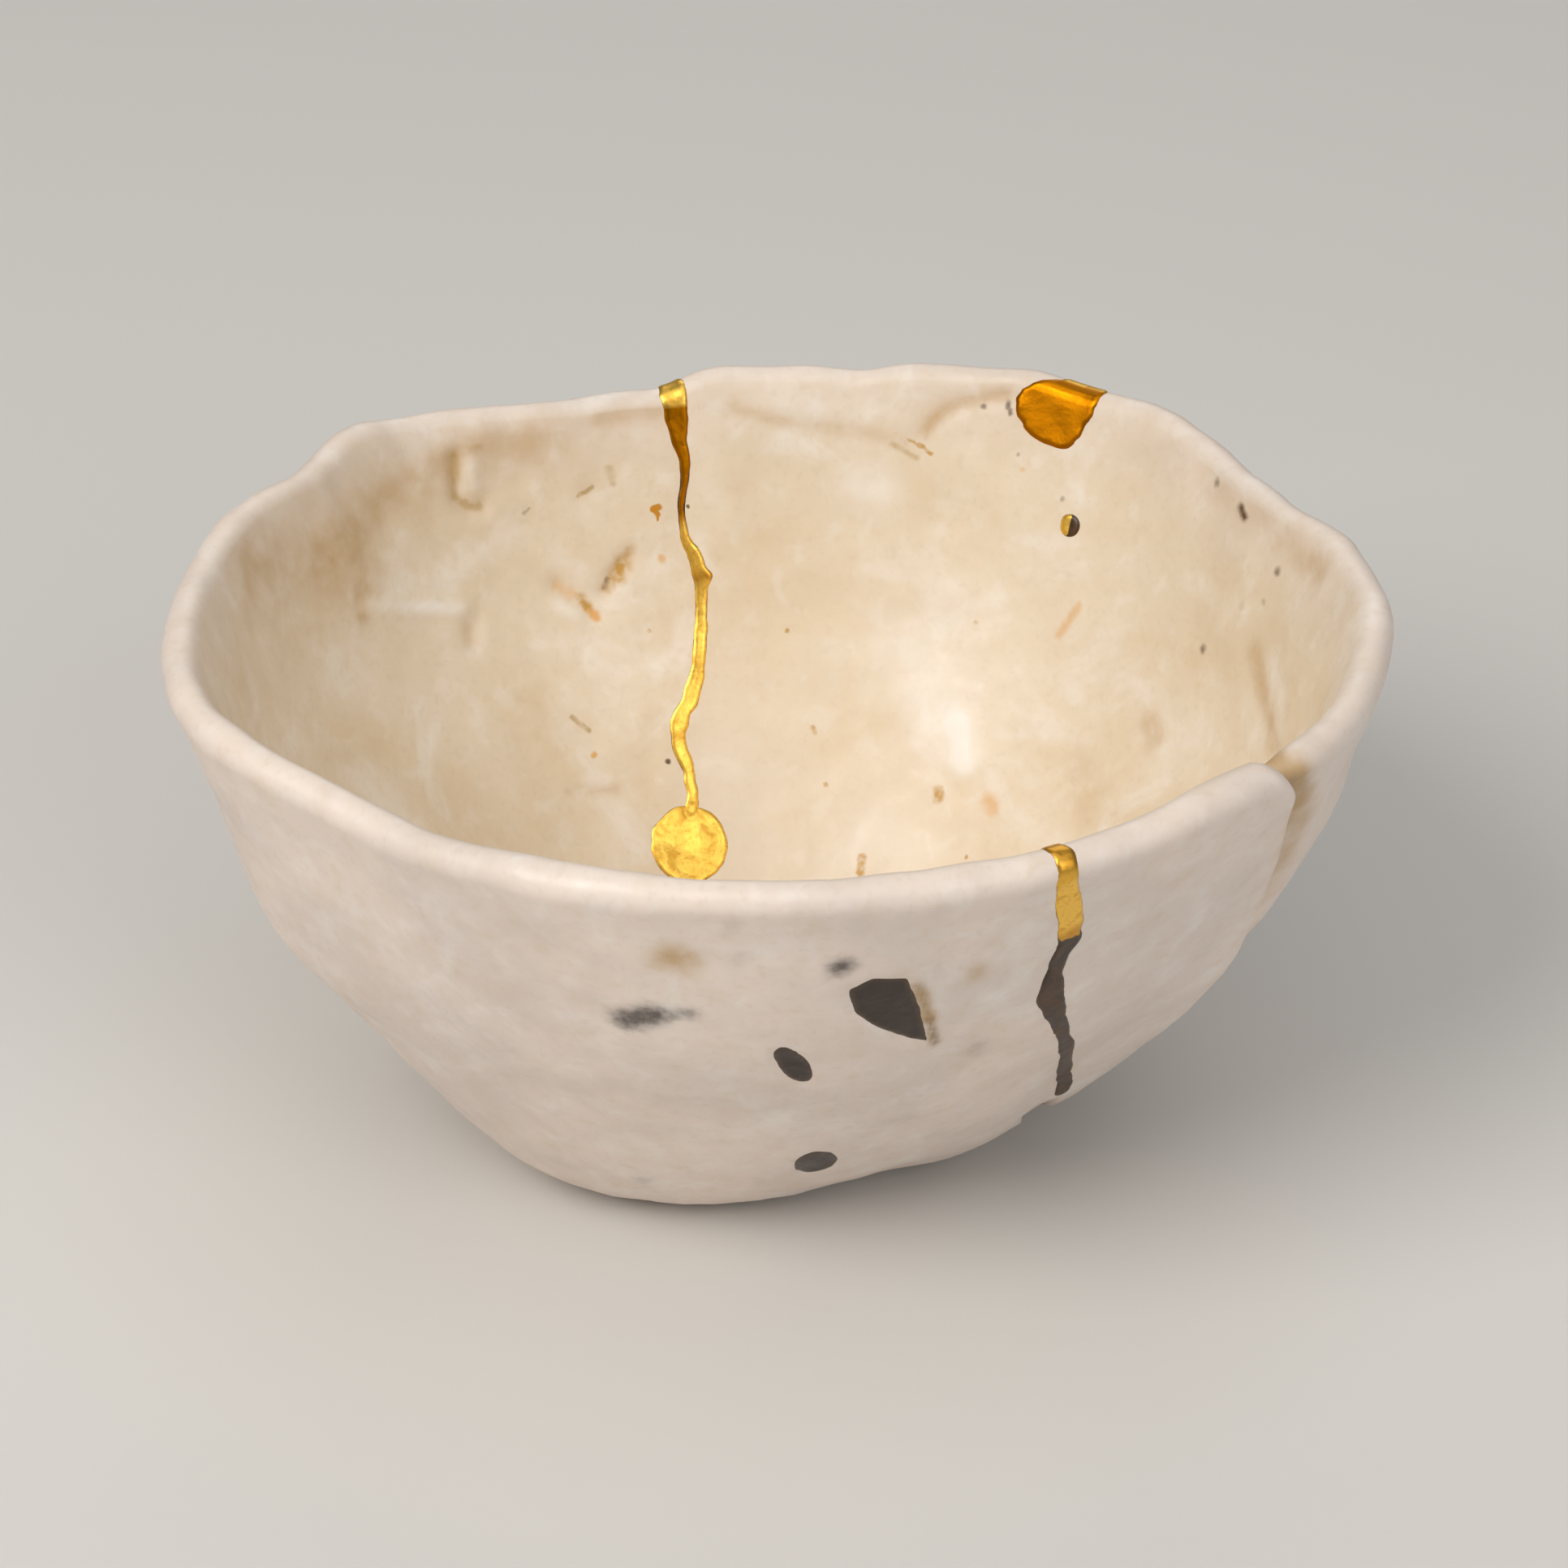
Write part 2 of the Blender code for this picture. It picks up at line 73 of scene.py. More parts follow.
# The solid's driving dimensions, repeated here in metres
RIM_RADIUS = 0.0565
RIM_HEIGHT = 0.0562
KNEE_RADIUS = 0.0445
KNEE_HEIGHT = 0.0252
FOOT_RADIUS = 0.0215
RIM_WALL = 0.0038
KNEE_WALL = 0.0043
FLOOR = 0.0056
FOOT_HOLLOW = 0.0005
PINCH = 0.0010
CRACK_WIDTH = 0.0020
PLAN_SHIFT = (-0.00005563, 0.00070776, 0.0)

# The lapped edge, where one flap of clay was pressed over the next
LAP_PROUD = 0.0007
LAP_GROOVE = 0.0025
LAP_ROUNDING = 0.0006
LAP_NOTCH = 0.0021
LAP_CREASE = 0.0008
LAP_STEP = 0.8
LAP_LINE = ((0.0, 336.0), (0.3, 334.0), (0.5, 332.0), (0.7, 329.4), (0.88, 326.2), (0.95, 324.6), (1.0, 323.0))
LAP_AZIMUTH = 323.0

# Rim, rim height, knee and foot as shares of their driving dimensions, each 22.5 degrees from +X
FORM = np.array((
    (1.036, 1.004, 1.054, 0.995), (0.990, 0.998, 1.018, 1.063), (1.014, 1.008, 1.005, 1.079),
    (0.981, 1.014, 0.978, 1.079), (0.938, 1.000, 0.951, 1.074), (0.942, 0.968, 0.955, 1.070),
    (1.009, 0.989, 0.998, 1.065), (1.019, 0.998, 1.036, 1.065), (1.041, 1.003, 1.081, 1.070),
    (1.055, 1.005, 1.083, 1.088), (0.968, 0.982, 1.009, 1.150), (0.970, 0.988, 0.964, 1.050),
    (0.966, 0.992, 0.939, 0.880), (0.977, 0.997, 0.935, 0.758), (1.005, 1.011, 0.971, 0.790),
    (1.037, 1.002, 1.043, 0.856),
))

# Pinches of the rim: azimuth, half width in degrees, push outwards and lift as shares of a pinch
RIM_PINCHES = (
    (357.0, 7.0, 0.5, 0.6), (12.0, 7.0, 0.8, 0.4), (30.0, 5.0, -0.2, -0.3),
    (45.0, 6.0, 0.3, 0.4), (60.0, 4.0, 0.2, 0.6), (80.0, 4.0, 0.0, -0.9),
    (97.0, 5.0, 0.3, 0.9), (104.0, 3.0, -0.2, -0.6), (141.0, 6.0, 0.7, 1.0),
    (151.0, 4.0, -0.5, -0.1), (162.0, 9.0, 0.8, 0.0), (232.0, 9.0, 0.2, -0.6),
    (316.0, 7.0, 0.0, 0.8),
)

# Swells of the wall: azimuth, half width in degrees, step, half height in steps, push as a share of a pinch
WALL_SWELLS = (
    (200.0, 12.0, 0.58, 0.10, 0.8),
    (190.0, 12.0, 0.84, 0.10, -0.4),
    (222.0, 14.0, 0.14, 0.12, 0.8),
    (312.0, 12.0, 0.12, 0.10, 1.0),
    (317.0, 9.0, 0.42, 0.12, -0.8),
    (337.0, 7.0, 0.45, 0.08, 0.6),
    (347.0, 8.0, 0.78, 0.10, 0.8),
    (2.0, 8.0, 0.88, 0.10, -0.8),
)

# Cracks, from the rim down: azimuth, share of the rim's height, width as a share of the usual one
FAR_CRACK = (
    (103.0, 1.00, 1.45), (102.8, 0.94, 1.00), (102.3, 0.89, 0.65), (102.6, 0.84, 0.55),
    (103.2, 0.79, 0.50), (102.8, 0.74, 0.65), (101.6, 0.69, 0.85), (101.3, 0.62, 0.70),
    (102.0, 0.54, 0.75), (103.6, 0.46, 0.95), (106.6, 0.40, 1.00), (107.9, 0.36, 0.90),
    (106.9, 0.31, 0.80), (106.8, 0.26, 0.65), (107.9, 0.215, 0.80),
)
NEAR_CRACK = (
    (297.0, 1.00, 1.05), (298.3, 0.93, 1.30), (299.9, 0.84, 1.30), (299.6, 0.78, 0.90),
    (300.6, 0.69, 1.25), (304.6, 0.57, 0.85), (310.3, 0.44, 0.90), (315.9, 0.34, 0.95),
    (319.2, 0.28, 0.95), (321.6, 0.24, 0.85),
)

# The rim chip's two sides, as ways over the rim with their azimuths: from the tip on the inner face,
# over the crest at 0, to the tip outside
CHIP_LEFT = (
    (-0.123, 57.0), (-0.119, 58.3), (-0.104, 59.9), (-0.082, 60.9), (-0.057, 61.5), (-0.040, 60.9),
    (-0.022, 59.0), (-0.008, 56.9), (0.035, 56.7), (0.080, 57.0), (0.110, 56.2), (0.123, 55.6),
)
CHIP_RIGHT = (
    (-0.123, 54.6), (-0.119, 53.7), (-0.106, 52.8), (-0.070, 52.1), (-0.045, 51.5), (-0.035, 51.4),
    (0.0, 51.5), (0.035, 52.2), (0.080, 53.0), (0.110, 54.6), (0.123, 55.4),
)

# The pit with corners, as a closed outline of azimuth and share of the rim's height
CORNER_PIT = (
    (276.9, 0.805), (279.3, 0.833), (282.9, 0.826), (284.8, 0.745),
    (286.6, 0.645), (284.2, 0.660), (281.0, 0.693), (277.8, 0.745),
)

# Round fills: place as azimuth and share of the rim's height, size and turn
SPOT_PLACE, SPOT_SIZE = (109.3, 0.166), (0.0087, 0.0086)
PINHOLE_PLACE, PINHOLE_SIZE = (50.8, 0.787), (0.0026, 0.0026)
OVAL_PIT_PLACE, OVAL_PIT_SIZE, OVAL_PIT_TURN = (271.6, 0.606), (0.0028, 0.0068), 22.0
LOW_PIT_PLACE, LOW_PIT_SIZE, LOW_PIT_TURN = (276.0, 0.240), (0.0043, 0.0068), 8.0
PIT_SINK = 0.0003

# The chip below the end of the near crack: its two ends, width and depth
BREAK_CHIP_ENDS = ((319.8, 0.200), (333.0, 0.090))
BREAK_CHIP_WIDTH = 0.0034
BREAK_CHIP_DEPTH = 0.0023

# Finger marks, soft stains and painted light of each face: points as azimuth and height in mm, half width in
# mm, dent in mm (a raised mark is negative), tan staining (a pale one is negative: painted highlight on raised
# marks and where the glaze shines), darkness
INNER_MARKS = (
    (((95.6, 53.3), (89.9, 51.9), (81.7, 51.0), (74.4, 49.8)), 1.1, 0.16, 0.45, 0.0),
    (((71.5, 51.4), (70.6, 52.7), (68.9, 53.8), (67.0, 54.7), (62.6, 55.9)), 1.0, 0.32, 0.65, 0.0),
    (((130.9, 52.2), (132.2, 48.5), (131.1, 47.0), (129.3, 46.8)), 0.9, 0.42, 0.30, 0.0),
    (((129.5, 50.8), (129.7, 48.8)), 1.1, -0.25, -0.50, 0.0),
    (((150.5, 42.4), (146.4, 40.9), (140.4, 39.0), (134.7, 37.4)), 0.9, -0.40, -0.50, 0.0),
    (((150.6, 43.6), (151.1, 42.0)), 1.1, 0.28, 0.60, 0.0),
    (((134.3, 37.0), (135.7, 35.6), (136.2, 34.4)), 1.1, 0.42, 0.45, 0.0),
    (((111.1, 39.2), (112.8, 38.0), (115.2, 36.2)), 1.1, 0.48, 0.45, 0.0),
    (((121.6, 37.5), (119.4, 36.0), (117.2, 33.9)), 1.0, 0.36, 0.30, 0.0),
    (((121.8, 35.6), (119.6, 34.6)), 1.4, -0.18, -0.35, 0.0),
    (((116.6, 46.0), (114.7, 46.7)), 0.8, 0.14, 0.20, 0.0),
    (((112.0, 53.6), (105.1, 53.6)), 1.7, 0.10, 0.50, 0.0),
    # The broad tan over the left of the inner face, here and at 164 degrees below, is partly staining and
    # partly painted shade
    (((152.0, 49.5), (140.0, 51.0), (128.8, 52.4), (118.3, 52.3)), 2.6, 0.0, 0.38, 0.0),
    (((166.7, 52.7), (158.0, 49.0), (150.0, 45.0)), 5.0, 0.0, 0.35, 0.0),
    (((33.0, 54.3), (26.3, 54.2), (20.7, 53.9), (14.8, 53.7), (9.9, 54.4)), 2.2, 0.40, 0.34, 0.0),
    (((11.5, 54.1), (9.4, 54.5)), 1.5, 0.05, 0.25, 0.0),
    (((14.4, 43.2), (11.3, 41.6), (7.4, 40.2), (3.8, 39.0), (358.8, 38.8)), 1.5, 0.26, 0.60, 0.0),
    (((27.6, 30.6), (25.6, 29.8)), 2.0, 0.05, 0.50, 0.0),
    (((36.2, 24.3), (30.0, 22.0)), 4.0, 0.0, 0.30, 0.0),
    # Pale patches of painted highlight, where the glaze shines low on the far side
    (((64.0, 24.1), (69.9, 29.7)), 4.5, 0.0, -0.25, 0.0),
    (((79.8, 29.1), (75.4, 32.4), (62.0, 29.0)), 9.0, 0.0, -0.12, 0.0),
    (((99.0, 17.8), (91.7, 12.0), (66.1, 12.6)), 9.0, 0.0, -0.25, 0.0),
    # Partly staining, partly painted shade over the left of the inner face
    (((164.0, 52.0), (150.0, 50.0), (141.2, 50.1), (122.0, 52.0)), 7.0, 0.0, 0.20, 0.0),
    (((59.5, 23.5), (56.3, 20.4)), 1.4, -0.22, -0.60, 0.0),
    (((78.7, 45.3), (77.0, 45.1)), 3.5, 0.0, -0.35, 0.0),
    (((129.7, 18.8), (120.9, 17.7)), 0.8, 0.0, 0.45, 0.0),
    (((131.0, 27.5), (128.0, 25.0)), 4.5, 0.0, 0.25, 0.0),
)
OUTER_MARKS = (
    (((253.8, 38.4), (256.8, 39.6)), 1.8, 0.05, 0.0, 0.80),
    (((256.8, 39.6), (260.8, 40.3)), 1.2, 0.0, 0.0, 0.50),
    (((276.3, 47.1), (275.9, 46.8)), 1.4, 0.05, 0.0, 0.70),
    (((283.9, 43.6), (285.2, 40.6), (285.9, 38.6)), 0.9, 0.0, 0.85, 0.30),
    (((285.9, 38.6), (287.5, 34.4)), 0.6, 0.0, 0.7, 0.45),
    (((290.2, 44.3), (290.6, 43.6)), 1.4, 0.0, 0.50, 0.0),
    (((293.2, 32.3), (293.3, 31.4)), 1.5, 0.0, 0.0, 0.28),
    (((265.8, 52.8), (265.4, 51.8)), 1.6, 0.0, 0.0, 0.18),
    (((266.1, 48.3), (265.6, 47.8)), 1.4, 0.0, 0.0, 0.20),
    (((246.6, 9.2), (247.4, 9.4)), 1.2, 0.0, 0.0, 0.35),
    (((287.1, 21.1), (287.6, 20.8)), 1.6, 0.0, 0.0, 0.22),
    (((259.0, 47.4), (260.2, 47.5)), 2.4, 0.0, 0.80, 0.0),
)

# Small marks in the inner face's glaze: tone and how even it is, then points as azimuth and height
# in mm, radius in mm, blur and strength. Tan, orange, ochre, golden, umber and iron, in that order
STROKES = (
    ("B99A64", 0.6, (
        (((130.9, 52.2), (132.2, 48.5), (131.1, 47.2), (129.5, 46.8)), 0.40, 0.80, 0.75),
        (((129.0, 52.6), (127.6, 52.6)), 0.30, 0.80, 0.4), (((116.6, 46.0), (114.7, 46.7)), 0.24, 0.60, 0.9),
        (((112.2, 48.4), (111.9, 46.9)), 0.40, 0.80, 0.5), (((75.5, 49.8), (72.2, 48.6)), 0.30, 0.80, 0.6),
        (((124.8, 25.0), (122.6, 23.5)), 0.28, 0.60, 0.8), (((19.5, 46.4),), 0.40, 0.80, 0.5),
    )),
    ("DEA860", 0.8, (
        (((106.4, 38.6),), 0.45, 0.60, 0.8), (((121.6, 37.5), (119.8, 36.3)), 0.50, 0.98, 0.5),
        (((117.9, 34.7), (117.0, 33.7)), 0.45, 0.70, 1.0), (((123.1, 21.2),), 0.34, 0.50, 1.0),
        (((49.6, 17.8), (48.6, 17.3)), 0.85, 0.70, 0.6), (((48.1, 34.2), (46.5, 37.4)), 0.45, 0.80, 0.55),
        (((58.7, 49.0),), 0.28, 0.70, 0.6),
    )),
    ("C0923E", 0.45, (
        (((73.5, 50.4), (71.7, 49.6)), 0.15, 0.60, 0.8), (((72.1, 50.0), (70.5, 49.1)), 0.20, 0.60, 1.0),
        (((112.0, 38.5), (113.1, 37.5)), 0.85, 0.95, 1.0), (((113.1, 37.6), (114.5, 36.5)), 0.60, 0.95, 0.9),
        (((110.7, 39.8), (112.1, 38.4)), 0.50, 0.98, 0.6), (((118.8, 35.8), (118.0, 34.9)), 0.50, 0.90, 1.0),
        (((71.4, 10.4), (71.2, 9.2)), 0.45, 0.50, 1.0), (((59.5, 17.4), (59.2, 16.7)), 0.55, 0.50, 0.95),
        (((84.1, 21.7), (83.6, 21.3)), 0.26, 0.50, 0.9), (((88.7, 30.8),), 0.24, 0.50, 0.9),
        (((80.9, 16.5),), 0.24, 0.50, 0.9), (((60.8, 33.2),), 0.22, 0.50, 0.8),
        (((49.6, 12.6),), 0.24, 0.50, 0.9), (((109.6, 31.6),), 0.25, 0.50, 0.8),
    )),
    ("C48204", 1.0, (
        (((107.0, 43.7), (106.3, 43.9)), 0.36, 0.30, 1.0), (((106.7, 43.5), (106.5, 43.2)), 0.34, 0.30, 1.0),
        (((106.6, 43.0), (106.6, 42.7)), 0.18, 0.40, 1.0),
    )),
    ("6E4C1C", 0.6, (
        (((114.4, 37.2), (114.9, 36.4)), 0.24, 0.98, 0.7),
    )),
    ("5A3C18", 0.85, (
        (((26.1, 54.4), (25.0, 53.9)), 0.46, 0.90, 1.0), (((31.6, 54.9),), 0.40, 0.90, 0.65),
        (((16.1, 51.5),), 0.42, 0.90, 0.85), (((16.3, 48.1),), 0.30, 0.90, 0.35),
        (((23.6, 40.2),), 0.42, 0.90, 0.75), (((65.0, 54.5),), 0.28, 0.70, 0.85),
        (((62.1, 55.2), (61.9, 54.8)), 0.28, 0.80, 0.8), (((61.6, 54.6), (61.5, 54.2)), 0.24, 0.80, 0.8),
        (((59.6, 50.3),), 0.20, 0.70, 0.5), (((52.7, 47.0),), 0.25, 0.70, 0.5),
        (((124.1, 45.2), (123.3, 45.6)), 0.16, 0.80, 0.4), (((110.3, 19.3),), 0.30, 0.40, 1.0),
        (((102.2, 43.7),), 0.22, 0.40, 0.9),
    )),
)

# How finely the bowl is lofted
OUTER_ROWS = 80
INNER_ROWS = 88
LIP_ROWS = 9
FLOOR_RINGS = 9
FOOT_RINGS = 5
HALVINGS = 26

# The lip: its way to each side of the crest, and the step below it that shows how the wall leans
LIP_SHARE = 0.035
LIP_BELOW = 0.94

# The pitch of points along a mend's edge, and how near its two faces are to be welded
EDGE_PITCH = 0.28 * MM
WELD = 0.002 * MM

# The outermost band of the form that is fitted into the solid's box, and the gap left for the mends
BOX_BAND = 0.0030
BOX_GAP = 0.00002

# How far from a pit's plane the wall still belongs to it
PIT_REACH = 2.5 * MM

# Down from the rim, as a share of its height: where each seam bulges, and where the near one's gold ends, below
# which its plain lacquer is painted shade for the gold's darker reflection
FAR_BULGE, NEAR_BULGE, NEAR_PAINTED_DARK_START = 0.345, 0.31, 0.135

# Area lights: place, width, power as a share of the key light's, colour
LIGHTS = (
    ("key_light", (-0.62, -0.58, 0.84), 0.70, 1.0, (1.0, 0.97, 0.93)),
    ("overhead_softbox", (0.05, -0.30, 1.15), 1.40, 0.50, (1.0, 0.985, 0.96)),
    ("fill_light", (0.70, -0.95, 0.72), 0.80, 0.50, (0.97, 0.98, 1.0)),
    ("back_softbox", (0.05, 0.88, 0.80), 0.80, 0.22, (1.0, 0.97, 0.93)),
)
LIT_POINT = (0.0, 0.0, 0.03)
ROOM_COLOUR, ROOM_STRENGTH = "E8ECF0", 0.22
TABLE_REACH = 4.0

# The camera that was fitted to the photo, 30 degrees above the table. It is turned right and down by
# so many of the photo's pixels, of which its focal length is so many
CAMERA_PLACE = (-0.000256, -0.37348, 0.25470)
CAMERA_AHEAD, CAMERA_UP = (0.0, 0.8660, -0.5), (0.0, 0.5, 0.8660)
CAMERA_TURN = (9.0, 36.0)
FOCAL_PIXELS = 5390.0


# ---- Form of the wall ----


def apart(azimuth, other):
    """Signed angle from other to azimuth, in degrees, from -180 to 180."""
    return (azimuth - other + 180.0) % 360.0 - 180.0


def eased(share):
    """A share from 0 to 1 with a soft start and a soft end."""
    share = np.clip(share, 0.0, 1.0)
    return share * share * (3.0 - 2.0 * share)


def hill(x):
    """A smooth hill of height 1 around 0."""
    return np.exp(-(x**2))


def spline(a, b, c, d, f):
    """A smooth curve from b to c that looks at its neighbours a and d."""
    return 0.5 * (2 * b + (c - a) * f + (2 * a - 5 * b + 4 * c - d) * f**2 + (3 * b - a - 3 * c + d) * f**3)


def around(column, azimuth):
    """One column of FORM at any azimuth, on a smooth closed curve."""
    place = np.mod(azimuth, 360.0) / 360.0 * len(FORM)
    row = np.floor(place).astype(int)
    values = FORM[:, column]
    a, b, c, d = (values[(row + k) % len(FORM)] for k in (-1, 0, 1, 2))
    return spline(a, b, c, d, place - row)


def hermite(p0, p1, m0, m1, f):
    """The curve from p0 to p1 that leaves along m0 and arrives along m1."""
    return (
        p0 * (2 * f**3 - 3 * f**2 + 1)
        + m0 * (f**3 - 2 * f**2 + f)
        + p1 * (3 * f**2 - 2 * f**3)
        + m1 * (f**3 - f**2)
    )


def section(azimuth, step):
    """Radius and height of the outer face at a step from the foot, 0, over the knee, 0.5, to the rim, 1."""
    push = lift = 0.0
    for centre, half_width, out, up in RIM_PINCHES:
        weight = PINCH * hill(apart(azimuth, centre) / half_width)
        push, lift = push + out * weight, lift + up * weight
    swell = 0.0
    for centre, half_width, share, half_height, out in WALL_SWELLS:
        near = (apart(azimuth, centre) / half_width) ** 2 + ((step - share) / half_height) ** 2
        swell = swell + PINCH * out * np.exp(-near)
    foot = FOOT_RADIUS * around(3, azimuth)
    knee, knee_height = KNEE_RADIUS * around(2, azimuth), KNEE_HEIGHT * around(1, azimuth)
    rim, top = RIM_RADIUS * around(0, azimuth) + push, RIM_HEIGHT * around(1, azimuth) - RIM_WALL / 2 + lift
    through, through_height = 0.5 * (rim - foot), 0.5 * top
    below, above = 2 * step, 2 * step - 1
    low = (
        hermite(foot, knee, 1.3 * (knee - foot), through, below),
        hermite(0.0, knee_height, 0.3 * knee_height, through_height, below),
    )
    high = (
        hermite(knee, rim, through, rim - knee, above),
        hermite(knee_height, top, through_height, top - knee_height, above),
    )
    under_knee = step <= 0.5
    return np.where(under_knee, low[0], high[0]) + swell, np.where(under_knee, low[1], high[1])


def lap(turn, step):
    """Relief of the lapped edge at a turn past it, in degrees: outside, inside, drop of the rim."""
    fade = np.minimum(1.0, step / 0.3)
    over = eased(turn / LAP_STEP)
    before, after = np.minimum(turn, 0.0), np.maximum(turn, 0.0)
    groove = hill(after / (3.0 + 10.0 * (1.0 - step))) * over
    outside = (LAP_PROUD * np.exp(before / 9.0) * (1.0 - over) - LAP_GROOVE * groove) * fade
    drop = (LAP_ROUNDING * hill(before / 0.8) * (1.0 - over) + LAP_NOTCH * groove) * step**8
    return outside, LAP_CREASE * groove * eased((step - 0.45) / 0.4), drop


def lap_shade(column, step):
    """Painted shade in the groove at the foot of the lapped edge, with some tan gathered there too, broader and
    fainter further down.
    """
    turn = apart(column, LAP_AZIMUTH)
    spread = np.minimum(3.0, 22.0 * (1.0 - step))
    strength = 0.65 + 0.45 * eased((step - 0.85) / 0.12)
    across = hill((turn - 2.4 - 0.6 * spread) / (1.8 + 0.9 * spread))
    return across * strength * eased((step - 0.5) / 0.3)


def wall(azimuth, step, outside=0.0, inside=0.0, drop=0.0):
    """Points of the outer and the inner face."""
    radius, height = section(azimuth, step)
    low, high = np.maximum(0.0, step - 0.02), np.minimum(1.0, step + 0.02)
    run = np.stack(section(azimuth, high)) - np.stack(section(azimuth, low))
    out, up = np.stack((run[1], -run[0])) / np.hypot(run[0], run[1])
    to_knee = FLOOR + (KNEE_WALL - FLOOR) * 2 * step
    thick = np.where(step <= 0.5, to_knee, KNEE_WALL + (RIM_WALL - KNEE_WALL) * (2 * step - 1)) + inside
    turn = np.radians(azimuth)
    faces = []
    for away in (outside, -thick):
        across = radius + out * away
        faces.append(np.stack((across * np.cos(turn), across * np.sin(turn), height + up * away - drop), -1))
    return faces[0] + PLAN_SHIFT, faces[1] + PLAN_SHIFT


def shell_wall(column, step):
    """Points of both faces at a column of the shell. Columns lean with the lapped edge near it."""
    turn = apart(column, LAP_AZIMUTH)
    steps, azimuths = zip(*LAP_LINE)
    lean = hill(turn / 22.0) * (np.interp(step, steps, azimuths) - LAP_AZIMUTH)
    return wall(column + lean, step, *lap(turn, step))


def lip_points(outer, inner, below, angle):
    """Points on the round of the rim, from the outer face at angle 0 to the inner face at pi."""
    rise = outer + inner - below[0] - below[1]
    rise /= np.linalg.norm(rise, axis=-1, keepdims=True)
    half = (outer - inner) / 2
    reach = np.linalg.norm(half, axis=-1, keepdims=True)
    return (outer + inner) / 2 + half * np.cos(angle) + rise * reach * np.sin(angle)


def step_where(azimuth, value, measure):
    """The step at which a measure of the wall, which grows with the step, reaches a value."""
    low, high = np.zeros_like(azimuth), np.ones_like(azimuth)
    for _ in range(HALVINGS):
        middle = (low + high) / 2
        under = measure(azimuth, middle) < value
        low, high = np.where(under, middle, low), np.where(under, high, middle)
    return (low + high) / 2


def face_points(azimuth, height, inner):
    """Points of one face at azimuths and heights above the table."""
    azimuth, height = np.asarray(azimuth, float), np.asarray(height, float)
    step = step_where(azimuth, height, lambda a, s: wall(a, s)[int(inner)][..., 2])
    return wall(azimuth, step)[int(inner)]


def share_points(azimuth, share, inner):
    """Points of one face where the section's outer height is a share of the rim's."""
    azimuth, share = np.asarray(azimuth, float), np.asarray(share, float)
    wanted = share * section(azimuth, np.ones_like(azimuth))[1]
    step = step_where(azimuth, wanted, lambda a, s: section(a, s)[1])
    return wall(azimuth, step)[int(inner)]


def over_rim(azimuth, way):
    """Points on a way over the rim: negative on the inner face, 0 on the crest, positive outside."""
    azimuth, way = np.asarray(azimuth, float), np.asarray(way, float)
    share = np.minimum(1.0, 1.0 - (np.abs(way) - LIP_SHARE))
    rim = np.ones_like(azimuth)
    outer, inner = wall(azimuth, rim)
    angle = np.pi / 2 * (1.0 - np.clip(way / LIP_SHARE, -1.0, 1.0))[..., None]
    crest = lip_points(outer, inner, wall(azimuth, LIP_BELOW * rim), angle)
    inside, outside = (share_points(azimuth, share, inner) for inner in (True, False))
    on_face = np.where((way < 0)[..., None], inside, outside)
    return np.where((np.abs(way) < LIP_SHARE)[..., None], crest, on_face)


# ---- The bowl's mesh ----


def shell_columns():
    """Azimuths of the shell's columns: closer on the near side and closest at the lapped edge."""
    fine = np.arange(0.0, 360.0, 0.05)
    density = 1.22 + 0.75 * np.exp(-((apart(fine, 283.0) / 24.0) ** 4))
    density += 3.5 * hill(apart(fine, LAP_AZIMUTH + 0.4) / 2.2)
    density += 0.6 * np.exp(-((apart(fine, 115.0) / 22.0) ** 4))
    counted = np.concatenate(((0.0,), np.cumsum(density) * 0.05))
    count = int(counted[-1])
    return np.interp(np.arange(count) * counted[-1] / count, counted, np.append(fine, 360.0))


def held_in_box(points):
    """Presses the outermost millimetres of the form together, so that it stays inside the solid's box."""
    low, high = (np.array(corner) for corner in CAD_BOX)
    made = points.copy()
    for axis, side, limit in ((0, -1.0, -low[0]), (0, 1.0, high[0]), (1, -1.0, -low[1]), (1, 1.0, high[1]),
                              (2, 1.0, high[2])):
        start = limit - BOX_BAND
        over = np.maximum(0.0, side * made[..., axis] - start)
        most = over.max()
        room = BOX_BAND - BOX_GAP
        if most > room:
            made[..., axis] -= side * over * (most - room) / most
    return made


